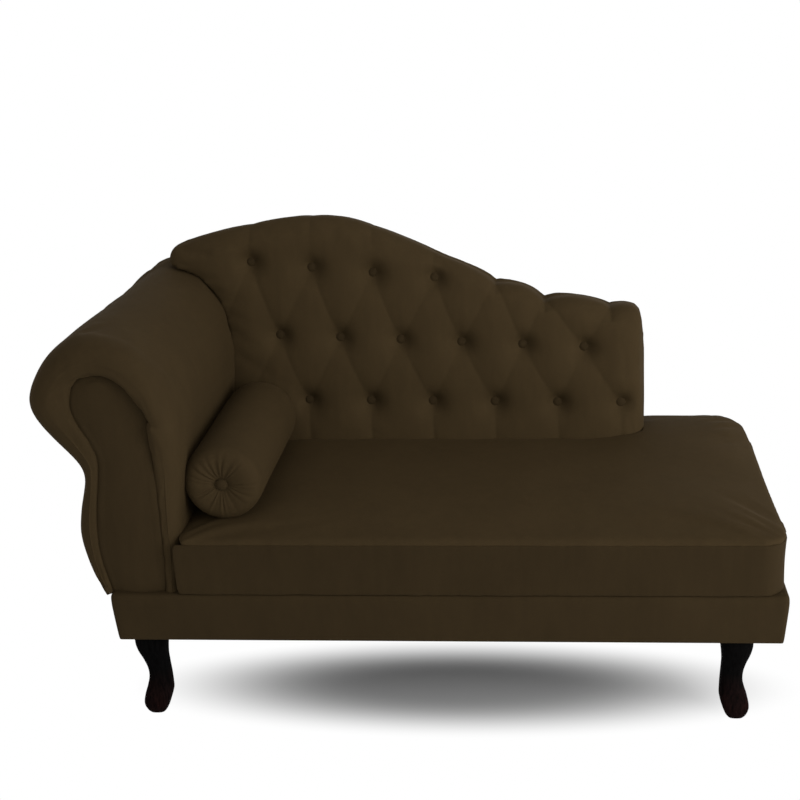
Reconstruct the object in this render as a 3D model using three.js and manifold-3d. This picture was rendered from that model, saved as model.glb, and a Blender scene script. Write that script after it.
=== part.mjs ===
import * as THREE from 'three';
import { mergeVertices } from 'three/addons/utils/BufferGeometryUtils.js';
import Module from 'manifold-3d';

const wasm = await Module();
wasm.setup();

// A one-armed chaise longue with a scrolled arm, a tufted half back and a loose bolster.
// Millimetres. X runs along the length with the arm at the low end, Y runs from the front
// to the back and Z up from the floor. The origin is on the floor, under the middle.

// Driving dimensions of the whole piece
const overallLength = 1550;
const overallDepth = 680;
const overallHeight = 1000;
const scrollOverhang = 125;
const legHeight = 202;
const baseHeight = 114;
const seatBorderHeight = 114;
const seatEdgeHeight = 453;
const seatCrown = 13;
const armHeight = 885;
const armWidth = 296;
const backRightInset = 264;
const backLeftInset = 147;

// Clearances and overruns
const gap = 0.3;
const overrun = 20;
const weldTolerance = 0.0001;

// Base frame
const railThickness = 25;
const railCoverThickness = 12;
const railCoverDraft = 7;
const railCoverEndRound = 9;
const webbingThickness = 2;
const crossMemberHeight = 60;
const crossMemberShares = [1 / 3, 2 / 3];
const cornerBlockLength = 110;
const cornerBlockHeight = 45;
const cornerBlockChamfer = 40;
const dustCoverThickness = 1.5;
const dustCoverInset = 20;
const strapWidth = 55;
const strapCountAlong = 4;
const strapCountAcross = 9;

// Legs and their studs
const legWidth = 70;
const legReach = 11;
const legFromLeft = 61;
const legFromRight = 96;
const legFromEdge = 58;
const legSides = 12;
const legSquareness = 3;
const studRadius = 5;
const studDepthInLeg = 36;
const studSides = 8;

// Seat
const seatSetback = 4;
const seatBorderDraw = 4;
const seatWelt = 3;
const seatEdgeRound = 22;
const seatCornerRadius = 50;
const seatCrownCornerRadius = 10;
const seatCoverWall = 8;
const seatRightInset = 3;
const seatArmTuck = 44;
const seatCornerSteps = 4;

// Scrolled arm
const armSetback = 12;
const armEdgeRound = 26;
const armTaper = 28;
const armCoverWall = 8;
const armBoardThickness = 20;
const armBoardInset = 36;
const armCrownRecess = 6;
const facingThickness = 14;
const facingEdgeRound = 5;
const rearFacingThickness = 3;
const battenWidth = 44;
const battenThickness = 22;
const armProfileSteps = 36;
const facingProfileSteps = 28;
const edgeSteps = 3;

// Tufted back
const backFootDepth = 180;
const backTopDepth = 85;
const backEdgeRound = 34;
const backCoverWall = 20;
const backCoverPadding = 32;
const backFoamThickness = 28;
const backBoardThickness = 15;
const outsideCoverThickness = 3;
const postThickness = 22;
const postHeadroom = 98;
const backOutlineSteps = 30;
const risingSteps = 2;
const fallingSteps = 3;

// Tufts and their buttons
const pitDepth = 24;
const pleatDepth = 9;
const tuftPuff = 5;
const buttonRadius = 12;
const buttonSides = 8;
const tuftBandSteps = 4;
const tuftGapSteps = 3;

// Bolster
const bolsterRadius = 85;
const bolsterFront = 56;
const bolsterBackGap = 4;
const bolsterCoverWall = 4;
const bolsterPleats = 12;
const bolsterPleatSteps = 4;
const bolsterPleatHeight = 3;
const bolsterButtonRadius = 13;
const bolsterButtonHeight = 7;
const bolsterFillingSides = 24;
const contactSteps = 12;
const zipWidth = 6;
const zipShare = 0.7;
const zipRecess = 1;

// Places worked out from the driving dimensions
const baseRight = overallLength / 2;
const scrollLeft = -overallLength / 2;
const baseLeft = scrollLeft + scrollOverhang;
const front = -overallDepth / 2;
const rear = overallDepth / 2;
const baseBottom = legHeight;
const baseTop = baseBottom + baseHeight;
const deckTop = baseTop + gap;
const railTop = baseTop - webbingThickness - gap;
const railOuter = railCoverThickness + gap;
const railInner = railOuter + railThickness;
const seatSeam = baseTop + seatBorderHeight;
const backLeft = scrollLeft + backLeftInset;
const backRight = baseRight - backRightInset;
const armInnerX = scrollLeft + armWidth;
const rollCentreX = scrollLeft + armWidth / 2;

const neckShare = 0.446;
const crownShares = [0.2, 0.45, 0.75];
const armStationShares = [0.33, 0.66];

// Section of an upholstered rail: shares of how far it stands out and of its height, with
// the foot drawn in by the draft
const railCoverShares = [[0, 0, 0], [1, 0, 1], [1, 0.45, 0.4], [1, 0.72, 0.05], [1, 0.86, 0],
  [0.78, 0.96, 0], [0.4, 1, 0], [0, 1, 0]];
const railCoverEndShare = 0.55;

// Posts behind the back: shares of the room between the arm and the back's open end
const postShares = { left: 0.056, middle: 0.495, right: 0.934 };

// Covered buttons: shares of the radius, and of the radius or the height
const tuftButtonShares = [[0, 0], [1, 0.75], [0.7, 1.1], [0, 1.2]];
const bolsterButtonShares = [[0, 0], [0.8, 0], [1, 0.4], [0.7, 0.85], [0, 1]];
const pitSharpness = 3;
const puffFullness = 0.8;

// Arm section from the foot of its outer side, over the roll, to the foot of its inner side:
// shares of the arm's width from the scroll, and of its height above the deck
const armProfileShares = [
  [0.375, 0], [0.287, 0.05], [0.221, 0.2], [0.239, 0.303], [0.279, 0.386], [0.301, neckShare],
  [0.268, 0.505], [0.119, 0.612], [0.032, 0.69], [0, 0.76], [0.048, 0.84], [0.17, 0.93],
  [0.351, 0.99], [0.543, 1], [0.755, 0.96], [0.91, 0.868], [0.978, 0.76], [1, 0.65],
  [0.992, 0.533], [0.963, 0.409], [0.923, 0.27], [0.906, 0.189], [0.885, 0],
];

// Facing panel let into the front of the arm, from its outer foot to its inner foot
const facingShares = [
  [0.44, 0.012], [0.422, 0.164], [0.41, 0.3], [0.426, 0.43], [0.448, 0.541], [0.405, 0.605],
  [0.337, 0.667], [0.293, 0.73], [0.29, 0.78], [0.325, 0.83], [0.404, 0.862], [0.53, 0.869],
  [0.648, 0.847], [0.742, 0.79], [0.806, 0.735], [0.822, 0.67], [0.824, 0.45], [0.82, 0.145],
  [0.808, 0.012],
];

// Battens between the arm's two boards: shares as above, of each batten's middle
const battenShares = { roll: [0.53, 0.78], outer: [0.543, 0.06], inner: [0.718, 0.06] };

// Top edge of the back from its left end to its right end: shares of the back's width, and
// of its height above the edge of the seat
const backTopShares = [
  [0, 0.79], [0.003, 0.838], [0.018, 0.874], [0.114, 0.941], [0.25, 0.994], [0.345, 1],
  [0.42, 0.968], [0.55, 0.857], [0.69, 0.712], [0.75, 0.68], [0.8, 0.64], [0.86, 0.622],
  [0.93, 0.598], [0.968, 0.59], [0.992, 0.568], [1, 0.52],
];

// Rows of tufts from the top down: shares of the back's width for the first and last
// button, shares of its height above the seat's edge there, and the number of buttons
const tuftRowShares = [
  { first: [0.179, 0.8], last: [0.564, 0.722], count: 4 },
  { first: [0.234, 0.483], last: [0.875, 0.419], count: 6 },
  { first: [0.291, 0.195], last: [0.951, 0.174], count: 6 },
];
const sparePitches = 3;

// Cabriole leg from the floor up: shares of its height, its width and its foot's reach
const legShares = [
  [0, 0.52, 1], [0.04, 0.68, 1], [0.12, 0.82, 0.9], [0.22, 0.86, 0.3], [0.31, 0.78, -0.1],
  [0.42, 0.69, -0.4], [0.54, 0.68, -0.3], [0.67, 0.76, 0.1], [0.79, 0.9, 0.45],
  [0.9, 1, 0.5], [1, 1, 0.35],
];

// Bolster's end from the button's seat out: shares of the radius, for the distance behind
// the end's foremost plane, the ring's radius and the height of its pleats
const bolsterEndShares = [
  [0.13, 0.17, 0], [0.05, 0.34, 0.6], [0.01, 0.58, 1], [0.03, 0.78, 0.7], [0.14, 0.93, 0.3],
  [0.45, 0.985, 0],
];

const fabric = { color: 0x372c1d, roughness: 0.95, metalness: 0 };
const facingFabric = { color: 0x312819, roughness: 0.95, metalness: 0 };
const foam = { color: 0xd9cfa8, roughness: 0.95, metalness: 0 };
const frameWood = { color: 0xb08a5a, roughness: 0.8, metalness: 0 };
const legWood = { color: 0x17100f, roughness: 0.35, metalness: 0 };
const liningCloth = { color: 0x1b1b1b, roughness: 0.95, metalness: 0 };
const webbingCloth = { color: 0x6f6a5c, roughness: 0.9, metalness: 0 };

const chaise = new THREE.Group();

function place(name, geometry, look) {
  const mesh = new THREE.Mesh(geometry, new THREE.MeshStandardMaterial(look));
  mesh.name = name;
  chaise.add(mesh);
}

// Solids: a geometry becomes a solid to be cut or joined, and comes back as a geometry
function toSolid(geometry) {
  const bare = geometry.clone();
  bare.deleteAttribute('normal');
  bare.deleteAttribute('uv');
  const merged = mergeVertices(bare, weldTolerance);
  return new wasm.Manifold(new wasm.Mesh({
    numProp: 3,
    vertProperties: new Float32Array(merged.attributes.position.array),
    triVerts: new Uint32Array(merged.index.array),
  }));
}

function toGeometry(solid) {
  const mesh = solid.getMesh();
  const geometry = new THREE.BufferGeometry();
  geometry.setAttribute('position', new THREE.BufferAttribute(mesh.vertProperties, 3));
  geometry.setIndex(new THREE.BufferAttribute(mesh.triVerts, 1));
  geometry.computeVertexNormals();
  return geometry;
}

function cut(body, ...tools) {
  return tools.reduce((left, tool) => left.subtract(tool), body);
}

function block(xs, ys, zs) {
  const [x0, x1] = xs;
  const [y0, y1] = ys;
  const [z0, z1] = zs;
  const geometry = new THREE.BoxGeometry(x1 - x0, y1 - y0, z1 - z0);
  geometry.translate((x0 + x1) / 2, (y0 + y1) / 2, (z0 + z1) / 2);
  return geometry;
}

// Flat cap on a ring of points, seen along one axis, turned the way the ring runs or back
function capFaces(ring, offset, flatAxis, alongRing) {
  const axes = ['x', 'y', 'z'].filter((axis) => axis !== flatAxis);
  const flat = ring.map((point) => new THREE.Vector2(point[axes[0]], point[axes[1]]));
  const ringTurn = Math.sign(THREE.ShapeUtils.area(flat));
  return THREE.ShapeUtils.triangulateShape(flat, []).flatMap(([a, b, c]) => {
    const turn = Math.sign(THREE.ShapeUtils.area([flat[a], flat[b], flat[c]]));
    const keep = (turn === ringTurn) === alongRing;
    return keep ? [offset + a, offset + b, offset + c] : [offset + a, offset + c, offset + b];
  });
}

function volumeOf(positions, index) {
  const corners = [new THREE.Vector3(), new THREE.Vector3(), new THREE.Vector3()];
  let sum = 0;
  for (let i = 0; i < index.length; i += 3) {
    corners.forEach((corner, k) => corner.fromArray(positions, index[i + k] * 3));
    sum += corners[0].dot(corners[1].cross(corners[2]));
  }
  return sum;
}

function closedGeometry(points, index) {
  const positions = new Float32Array(points.flatMap((point) => [point.x, point.y, point.z]));
  const faces = [...index];
  if (volumeOf(positions, faces) < 0) {
    for (let i = 0; i < faces.length; i += 3) {
      [faces[i + 1], faces[i + 2]] = [faces[i + 2], faces[i + 1]];
    }
  }
  const geometry = new THREE.BufferGeometry();
  geometry.setAttribute('position', new THREE.BufferAttribute(positions, 3));
  geometry.setIndex(faces);
  geometry.computeVertexNormals();
  return geometry;
}

// A closed body skinned over rings with the same number of points
function skin(rings, flatAxis) {
  const count = rings[0].length;
  const index = [];
  for (let r = 0; r + 1 < rings.length; r += 1) {
    for (let i = 0; i < count; i += 1) {
      const next = (i + 1) % count;
      const a = r * count + i;
      const b = r * count + next;
      const c = (r + 1) * count + next;
      const d = (r + 1) * count + i;
      index.push(a, b, c, a, c, d);
    }
  }
  index.push(...capFaces(rings[0], 0, flatAxis, false));
  index.push(...capFaces(rings.at(-1), (rings.length - 1) * count, flatAxis, true));
  return closedGeometry(rings.flat(), index);
}

function prismY(outline, y0, y1) {
  return skin([y0, y1].map((y) => outline.map((p) => new THREE.Vector3(p.x, y, p.y))), 'y');
}

function prismX(outline, x0, x1) {
  return skin([x0, x1].map((x) => outline.map((p) => new THREE.Vector3(x, p.x, p.y))), 'x');
}

function prismZ(outline, z0, z1) {
  return skin([z0, z1].map((z) => outline.map((p) => new THREE.Vector3(p.x, p.y, z))), 'z');
}

function rod(x, y, z0, z1, radius, sides) {
  const geometry = new THREE.CylinderGeometry(radius, radius, z1 - z0, sides);
  geometry.rotateX(Math.PI / 2);
  geometry.translate(x, y, (z0 + z1) / 2);
  return geometry;
}

// Quarter round: pairs of inset from the side and depth behind the face
function quarterRound(radius, steps) {
  return Array.from({ length: steps + 1 }, (_, k) => {
    const angle = (k / steps) * (Math.PI / 2);
    return { inset: radius * (1 - Math.sin(angle)), depth: radius * (1 - Math.cos(angle)) };
  });
}

// A smooth line through points given as shares, stretched so that it just fills its width
// and reaches its full height
function fitShares(shares, steps) {
  const curve = new THREE.SplineCurve(shares.map(([u, v]) => new THREE.Vector2(u, v)));
  const points = curve.getSpacedPoints(steps);
  const low = Math.min(...points.map((p) => p.x));
  const high = Math.max(...points.map((p) => p.x));
  const top = Math.max(...points.map((p) => p.y));
  return points.map((p) => new THREE.Vector2((p.x - low) / (high - low), p.y / top));
}

// Outline moved inwards; it runs clockwise from foot to foot, and its feet stay on one level
function insetOutline(points, inset, footZ) {
  return points.map((point, i) => {
    const before = points[Math.max(i - 1, 0)];
    const after = points[Math.min(i + 1, points.length - 1)];
    const along = new THREE.Vector2().subVectors(after, before).normalize();
    const moved = new THREE.Vector2(point.x + along.y * inset, point.y - along.x * inset);
    if (i === 0 || i === points.length - 1) {
      moved.x = point.x + Math.sign(along.y) * inset;
      moved.y = footZ;
    }
    return moved;
  });
}

// Base frame
const railYs = [front + railOuter, front + railInner];
const backRailYs = [rear - railInner, rear - railOuter];
const innerYs = [railYs[1] + gap, backRailYs[0] - gap];
const innerXs = [baseLeft + railInner + gap, baseRight - railInner - gap];
const railXs = [baseLeft + railOuter, baseRight - railOuter];
const legSpots = [
  { name: 'front_left', x: baseLeft + legFromLeft, y: front + legFromEdge, sx: -1, sy: -1 },
  { name: 'front_right', x: baseRight - legFromRight, y: front + legFromEdge, sx: 1, sy: -1 },
  { name: 'rear_left', x: baseLeft + legFromLeft, y: rear - legFromEdge, sx: -1, sy: 1 },
  { name: 'rear_right', x: baseRight - legFromRight, y: rear - legFromEdge, sx: 1, sy: 1 },
];

function addBaseFrame() {
  const zs = [baseBottom, railTop];
  place('front_rail', block(railXs, railYs, zs), frameWood);
  place('back_rail', block(railXs, backRailYs, zs), frameWood);
  place('left_rail', block([railXs[0], railXs[0] + railThickness], innerYs, zs), frameWood);
  place('right_rail', block([railXs[1] - railThickness, railXs[1]], innerYs, zs), frameWood);
  ['left', 'right'].forEach((side, i) => {
    const middle = baseLeft + (baseRight - baseLeft) * crossMemberShares[i];
    const xs = [middle - railThickness / 2, middle + railThickness / 2];
    const memberZs = [railTop - crossMemberHeight, railTop];
    place(`cross_member_${side}`, block(xs, innerYs, memberZs), frameWood);
  });
}

function addCornerBlocks() {
  const long = cornerBlockLength;
  const short = cornerBlockLength - cornerBlockChamfer;
  const corner = [[0, 0], [long, 0], [long, short], [short, long], [0, long]];
  legSpots.forEach(({ name, x, y, sx, sy }) => {
    const cornerX = sx < 0 ? innerXs[0] : innerXs[1];
    const cornerY = sy < 0 ? innerYs[0] : innerYs[1];
    const outline = corner.map(([u, v]) => new THREE.Vector2(cornerX - sx * u, cornerY - sy * v));
    const body = toSolid(prismZ(outline, baseBottom, baseBottom + cornerBlockHeight));
    const top = baseBottom + cornerBlockHeight + overrun;
    const hole = rod(x, y, baseBottom - overrun, top, studRadius + gap, studSides);
    place(`corner_block_${name}`, toGeometry(cut(body, toSolid(hole))), frameWood);
  });
}

// One level of a leg: a rounded square pushed out along the corner's diagonal
function legRing(spot, zShare, widthShare, reachShare) {
  const half = (legWidth * widthShare) / 2;
  const reach = (legReach * reachShare) / Math.SQRT2;
  const power = 2 / legSquareness;
  return Array.from({ length: legSides }, (_, i) => {
    const angle = ((i + 0.5) / legSides) * 2 * Math.PI;
    const c = Math.cos(angle);
    const s = Math.sin(angle);
    return new THREE.Vector3(
      spot.x + spot.sx * reach + half * Math.sign(c) * Math.abs(c) ** power,
      spot.y + spot.sy * reach + half * Math.sign(s) * Math.abs(s) ** power,
      zShare * (legHeight - gap),
    );
  });
}

// Each leg carries the stud that screws up into its corner block
function addLegs() {
  legSpots.forEach((spot) => {
    const rings = legShares.map((shares) => legRing(spot, ...shares));
    const zs = [legHeight - studDepthInLeg, baseBottom + cornerBlockHeight];
    const stud = toSolid(rod(spot.x, spot.y, ...zs, studRadius, studSides));
    place(`leg_${spot.name}`, toGeometry(toSolid(skin(rings, 'z')).add(stud)), legWood);
  });
}

function railCoverSection(endShare) {
  return railCoverShares.map(([out, up, draft]) => [
    (railCoverThickness * out - railCoverDraft * draft) * endShare, baseBottom + baseHeight * up,
  ]);
}

function railCover(from, to, endRound, toPoint) {
  const stations = endRound
    ? [[from, railCoverEndShare], [from + railCoverEndRound, 1],
      [to - railCoverEndRound, 1], [to, railCoverEndShare]]
    : [[from, 1], [to, 1]];
  return stations.map(([at, share]) => railCoverSection(share).map(([o, z]) => toPoint(at, o, z)));
}

function addRailCovers() {
  const frontInner = front + railCoverThickness;
  const rearInner = rear - railCoverThickness;
  const leftInner = baseLeft + railCoverThickness;
  const rightInner = baseRight - railCoverThickness;
  const frontPoint = (x, o, z) => new THREE.Vector3(x, frontInner - o, z);
  const rearPoint = (x, o, z) => new THREE.Vector3(x, rearInner + o, z);
  const leftPoint = (y, o, z) => new THREE.Vector3(leftInner - o, y, z);
  const rightPoint = (y, o, z) => new THREE.Vector3(rightInner + o, y, z);
  const sideYs = [frontInner + gap, rearInner - gap];
  const covers = [
    ['front', railCover(baseLeft, baseRight, true, frontPoint), 'x'],
    ['back', railCover(baseLeft, baseRight, true, rearPoint), 'x'],
    ['left', railCover(...sideYs, false, leftPoint), 'y'],
    ['right', railCover(...sideYs, false, rightPoint), 'y'],
  ];
  covers.forEach(([side, rings, axis]) => place(`${side}_rail_cover`, skin(rings, axis), fabric));
}

// Lining under the base, notched round the legs
function addDustCover() {
  const xs = [baseLeft + dustCoverInset, baseRight - dustCoverInset];
  const ys = [front + dustCoverInset, rear - dustCoverInset];
  const clear = legWidth / 2 + legReach + gap;
  const notchXs = [legSpots[0].x + clear, legSpots[1].x - clear];
  const notchYs = [legSpots[0].y + clear, legSpots[2].y - clear];
  const outline = [
    [notchXs[0], ys[0]], [notchXs[1], ys[0]], [notchXs[1], notchYs[0]], [xs[1], notchYs[0]],
    [xs[1], notchYs[1]], [notchXs[1], notchYs[1]], [notchXs[1], ys[1]], [notchXs[0], ys[1]],
    [notchXs[0], notchYs[1]], [xs[0], notchYs[1]], [xs[0], notchYs[0]], [notchXs[0], notchYs[0]],
  ].map(([x, y]) => new THREE.Vector2(x, y));
  const top = baseBottom - gap;
  place('dust_cover', prismZ(outline, top - dustCoverThickness, top), liningCloth);
}

// Woven straps over the rails, joined where they cross, with a border round the edge
function addWebbing() {
  const xs = [railXs[0], railXs[1]];
  const ys = [railYs[0], backRailYs[1]];
  const zs = [railTop + gap, railTop + gap + webbingThickness];
  const border = railThickness;
  const strapSpans = ([from, to], count) => {
    const open = to - from - 2 * border - count * strapWidth;
    const pitch = open / (count + 1) + strapWidth;
    const straps = Array.from({ length: count }, (_, i) => {
      const end = from + border + (i + 1) * pitch;
      return [end - strapWidth, end];
    });
    return [[from, from + border], ...straps, [to - border, to]];
  };
  const across = strapSpans(xs, strapCountAcross).map((span) => block(span, ys, zs));
  const along = strapSpans(ys, strapCountAlong).map((span) => block(xs, span, zs));
  const straps = [...across, ...along].map(toSolid).reduce((sum, strap) => sum.add(strap));
  place('seat_webbing', toGeometry(straps), webbingCloth);
}

// Arm section, moved inwards by an inset or outwards by a negative one
const armPoints = fitShares(armProfileShares, armProfileSteps).map((p) => (
  new THREE.Vector2(scrollLeft + armWidth * p.x, deckTop + (armHeight - deckTop) * p.y)
));
const neckZ = deckTop + (armHeight - deckTop) * neckShare;

function armOutline(inset, footZ = deckTop) {
  return insetOutline(armPoints, inset, footZ);
}

// The roll's outer half draws in towards the back of the piece
function armRing(y, inset, footZ = deckTop) {
  const start = front + armSetback + armEdgeRound;
  const share = THREE.MathUtils.clamp((y - start) / (rear - start), 0, 1);
  return armOutline(inset, footZ).map((p) => {
    const high = THREE.MathUtils.smoothstep(p.y, neckZ, neckZ + (armHeight - neckZ) / 2);
    const out = Math.max(rollCentreX - p.x, 0) / (rollCentreX - scrollLeft);
    return new THREE.Vector3(p.x + armTaper * share * high * out, y, p.y);
  });
}

function armPrism(grow) {
  const footZ = baseTop - overrun;
  return toSolid(prismY(armOutline(-grow, footZ), front - overrun, rear + overrun));
}

const armFront = front + armSetback;
const facingFront = armFront + armCrownRecess;
const armBoardFront = facingFront + facingThickness + gap;
const armBoardBack = armBoardFront + armBoardThickness;
const rearBoardBack = rear - rearFacingThickness - gap;
const rearBoardFront = rearBoardBack - armBoardThickness;

function armBody(inset, frontY, rearY, footZ) {
  const round = quarterRound(armEdgeRound, edgeSteps);
  const middle = armStationShares.map((share) => frontY + (rearY - frontY) * share);
  const rings = round.map((step) => armRing(frontY + step.depth, inset + step.inset, footZ));
  middle.forEach((y) => rings.push(armRing(y, inset, footZ)));
  rings.push(armRing(rearY, inset, footZ));
  return toSolid(skin(rings, 'y'));
}

const facingCurve = new THREE.SplineCurve(facingShares.map(([u, v]) => (
  new THREE.Vector2(scrollLeft + armWidth * u, deckTop + (armHeight - deckTop) * v)
)));
const facingPoints = facingCurve.getSpacedPoints(facingProfileSteps);

function facingOutline(inset) {
  return insetOutline(facingPoints, inset, facingPoints[0].y + inset);
}

function addArmCovers() {
  const outer = armBody(0, armFront, rear);
  const inner = armBody(armCoverWall, armFront + armCoverWall, rear + overrun, deckTop - overrun);
  const hole = toSolid(prismY(facingOutline(-gap), front - overrun, armBoardFront));
  const shell = cut(outer, inner, hole);
  // The outer panel meets the roll's cover in a seam under the scroll
  const seamX = rollCentreX;
  const below = [[scrollLeft - overrun, seamX], [front - overrun, rear + overrun]];
  const lower = toSolid(block(...below, [deckTop - overrun, neckZ - gap / 2]));
  const lowerGrown = toSolid(block(
    [scrollLeft - overrun, seamX + gap], [front - overrun, rear + overrun],
    [deckTop - overrun, neckZ + gap / 2],
  ));
  place('arm_cover', toGeometry(cut(shell, lowerGrown)), fabric);
  place('arm_outside_cover', toGeometry(shell.intersect(lower)), fabric);
}

function addArmFacings() {
  const round = quarterRound(facingEdgeRound, 1);
  const backY = facingFront + facingThickness;
  const rings = round.map(({ inset, depth }) => (
    facingOutline(inset).map((p) => new THREE.Vector3(p.x, facingFront + depth, p.y))
  ));
  rings.push(facingOutline(0).map((p) => new THREE.Vector3(p.x, backY, p.y)));
  place('arm_front_facing', skin(rings, 'y'), facingFabric);
  const inset = armCoverWall + gap;
  const rearRings = [rear - rearFacingThickness, rear].map((y) => armRing(y, inset));
  place('arm_rear_facing', skin(rearRings, 'y'), facingFabric);
}

function battenSpan([u, v]) {
  const x = scrollLeft + armWidth * u;
  const z = Math.max(deckTop + (armHeight - deckTop) * v, deckTop + battenWidth / 2);
  return {
    xs: [x - battenThickness / 2, x + battenThickness / 2],
    zs: [z - battenWidth / 2, z + battenWidth / 2],
  };
}

function addArmFrame() {
  const board = (y0, y1) => skin([y0, y1].map((y) => armRing(y, armBoardInset)), 'y');
  place('arm_front_board', board(armBoardFront, armBoardBack), frameWood);
  place('arm_rear_board', board(rearBoardFront, rearBoardBack), frameWood);
  const ys = [armBoardBack + gap, rearBoardFront - gap];
  Object.entries(battenShares).forEach(([name, share]) => {
    const { xs, zs } = battenSpan(share);
    place(`arm_batten_${name}`, block(xs, ys, zs), frameWood);
  });
}

// Padding of the arm: solid in the roll, hollow between the boards below the neck
function addArmFoam() {
  const inset = armCoverWall + gap;
  const body = armBody(inset, armFront + inset, rear - rearFacingThickness - gap);
  const pocket = armBoardInset - gap;
  const footZ = deckTop - overrun;
  const frontPocket = [armBoardFront - gap, armBoardBack + gap];
  const rearPocket = [rearBoardFront - gap, rear + overrun];
  const pockets = [frontPocket, rearPocket].map(([y0, y1]) => (
    toSolid(skin([y0, y1].map((y) => armRing(y, pocket, footZ)), 'y'))
  ));
  const facingHole = toSolid(prismY(facingOutline(-gap), front - overrun, armBoardFront));
  const below = block(
    [scrollLeft, rollCentreX + armWidth], [front, rear], [footZ, neckZ + battenWidth],
  );
  const core = toSolid(skin([armBoardFront, rear].map((y) => armRing(y, armBoardInset, footZ)), 'y'));
  const hollow = core.intersect(toSolid(below));
  const { xs, zs } = battenSpan(battenShares.roll);
  const batten = toSolid(block(
    [xs[0] - gap, xs[1] + gap], [armBoardFront, rear], [zs[0] - gap, zs[1] + gap],
  ));
  place('arm_foam', toGeometry(cut(body, ...pockets, facingHole, hollow, batten)), foam);
}

// Crown of the seat over its rounded edge: heights and insets from its plan
const crownSpan = overallDepth / 2 - seatEdgeRound;
const crownLevels = [0, ...crownShares].map((share) => [
  seatEdgeHeight + seatCrown * (1 - (1 - share) ** 2), seatEdgeRound + crownSpan * share,
]);

// Levels of the seat's cover from the deck up, as heights and insets from its plan
function seatLevels() {
  const draw = seatBorderDraw;
  const edgeRise = (seatEdgeHeight - seatSeam) / 2;
  const levels = [
    [deckTop, draw], [(deckTop + seatSeam) / 2, draw * 2], [seatSeam - 2 * seatWelt, draw],
    [seatSeam, draw - seatWelt], [seatSeam + 2 * seatWelt, draw],
    [seatSeam + edgeRise, draw / 2],
  ];
  quarterRound(seatEdgeRound, edgeSteps).reverse().slice(1, -1).forEach(({ inset, depth }) => {
    levels.push([seatEdgeHeight - (depth / seatEdgeRound) * edgeRise, draw / 2 + inset]);
  });
  return [...levels, ...crownLevels];
}

const seatXs = [armInnerX - seatArmTuck, baseRight - seatRightInset];
const seatYs = [front + seatSetback - seatBorderDraw, rear - seatSetback + seatBorderDraw];

function seatRing(z, inset) {
  const radius = Math.max(seatCornerRadius - inset, seatCrownCornerRadius);
  const xs = [seatXs[0] + inset, seatXs[1] - inset];
  const ys = [seatYs[0] + inset, seatYs[1] - inset];
  const corners = [
    [xs[1] - radius, ys[0] + radius, -0.5], [xs[1] - radius, ys[1] - radius, 0],
    [xs[0] + radius, ys[1] - radius, 0.5], [xs[0] + radius, ys[0] + radius, 1],
  ];
  return corners.flatMap(([x, y, turn]) => (
    Array.from({ length: seatCornerSteps + 1 }, (_, k) => {
      const angle = (turn + (0.5 * k) / seatCornerSteps) * Math.PI;
      return new THREE.Vector3(x + radius * Math.cos(angle), y + radius * Math.sin(angle), z);
    })
  ));
}

function seatBody(shrink) {
  const levels = seatLevels();
  const footZ = shrink > gap ? deckTop - overrun : deckTop;
  return toSolid(skin(levels.map(([z, inset], i) => (
    i === 0 ? seatRing(footZ, inset + shrink) : seatRing(z - shrink, inset + shrink)
  )), 'z'));
}

// Front face of the back at a height: it leans back from the seat to the top
function backFront(z) {
  const share = (z - seatEdgeHeight) / (overallHeight - seatEdgeHeight);
  return rear - (backFootDepth + (backTopDepth - backFootDepth) * share);
}

// Room that the back takes at the rear of the seat
function backRoom(grow) {
  const zs = [baseTop - overrun, overallHeight];
  const outline = [
    [backFront(zs[0]) - tuftPuff - grow, zs[0]], [backFront(zs[1]) - tuftPuff - grow, zs[1]],
    [rear + overrun, zs[1]], [rear + overrun, zs[0]],
  ].map(([y, z]) => new THREE.Vector2(y, z));
  return toSolid(prismX(outline, scrollLeft, backRight + grow));
}

function addSeat() {
  const wall = seatCoverWall;
  const outer = cut(seatBody(0), armPrism(gap), backRoom(gap));
  const inner = cut(seatBody(wall), armPrism(gap - overrun), backRoom(gap - overrun));
  place('seat_cover', toGeometry(cut(outer, inner)), fabric);
  const padding = cut(seatBody(wall + gap), armPrism(gap), backRoom(gap));
  const floor = block(
    [scrollLeft, baseRight + overrun], [front, rear], [deckTop - 2 * overrun, deckTop],
  );
  place('seat_foam', toGeometry(cut(padding, toSolid(floor))), foam);
}

// Outline of the back, drawn in by an inset: its top edge, between two feet
const backWidth = backRight - backLeft;
const backTopPoints = fitShares(backTopShares, backOutlineSteps).map((p) => (
  new THREE.Vector2(p.x, seatEdgeHeight + (overallHeight - seatEdgeHeight) * p.y)
));

function backOutline(inset, footZ) {
  const top = backTopPoints.map((p) => (
    new THREE.Vector2(backLeft + inset + p.x * (backWidth - 2 * inset), p.y - inset)
  ));
  const feet = [backRight - inset, backLeft + inset].map((x) => new THREE.Vector2(x, footZ));
  return [...top, ...feet];
}

// A ring of the back whose points stand a depth behind its leaning front face
function backRing(inset, depth, footZ = deckTop) {
  return backOutline(inset, footZ).map((p) => new THREE.Vector3(p.x, backFront(p.y) + depth, p.y));
}

function backSlab(inset, depth, thickness, footZ = deckTop) {
  return toSolid(skin([depth, depth + thickness].map((d) => backRing(inset, d, footZ)), 'y'));
}

// Lattice of tufts: each row has a button or a spare point at every pitch
const tuftRows = tuftRowShares.map(({ first, last, count }) => {
  const toPoint = ([u, v]) => new THREE.Vector2(
    backLeft + backWidth * u, seatEdgeHeight + (overallHeight - seatEdgeHeight) * v,
  );
  const start = toPoint(first);
  const step = toPoint(last).sub(start).divideScalar(count - 1);
  const total = tuftRowShares[1].count + 2 * sparePitches;
  return Array.from({ length: total }, (_, i) => {
    const k = i - sparePitches;
    const point = start.clone().addScaledVector(step, k);
    return { x: point.x, z: point.y, button: k >= 0 && k < count };
  });
});

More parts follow.
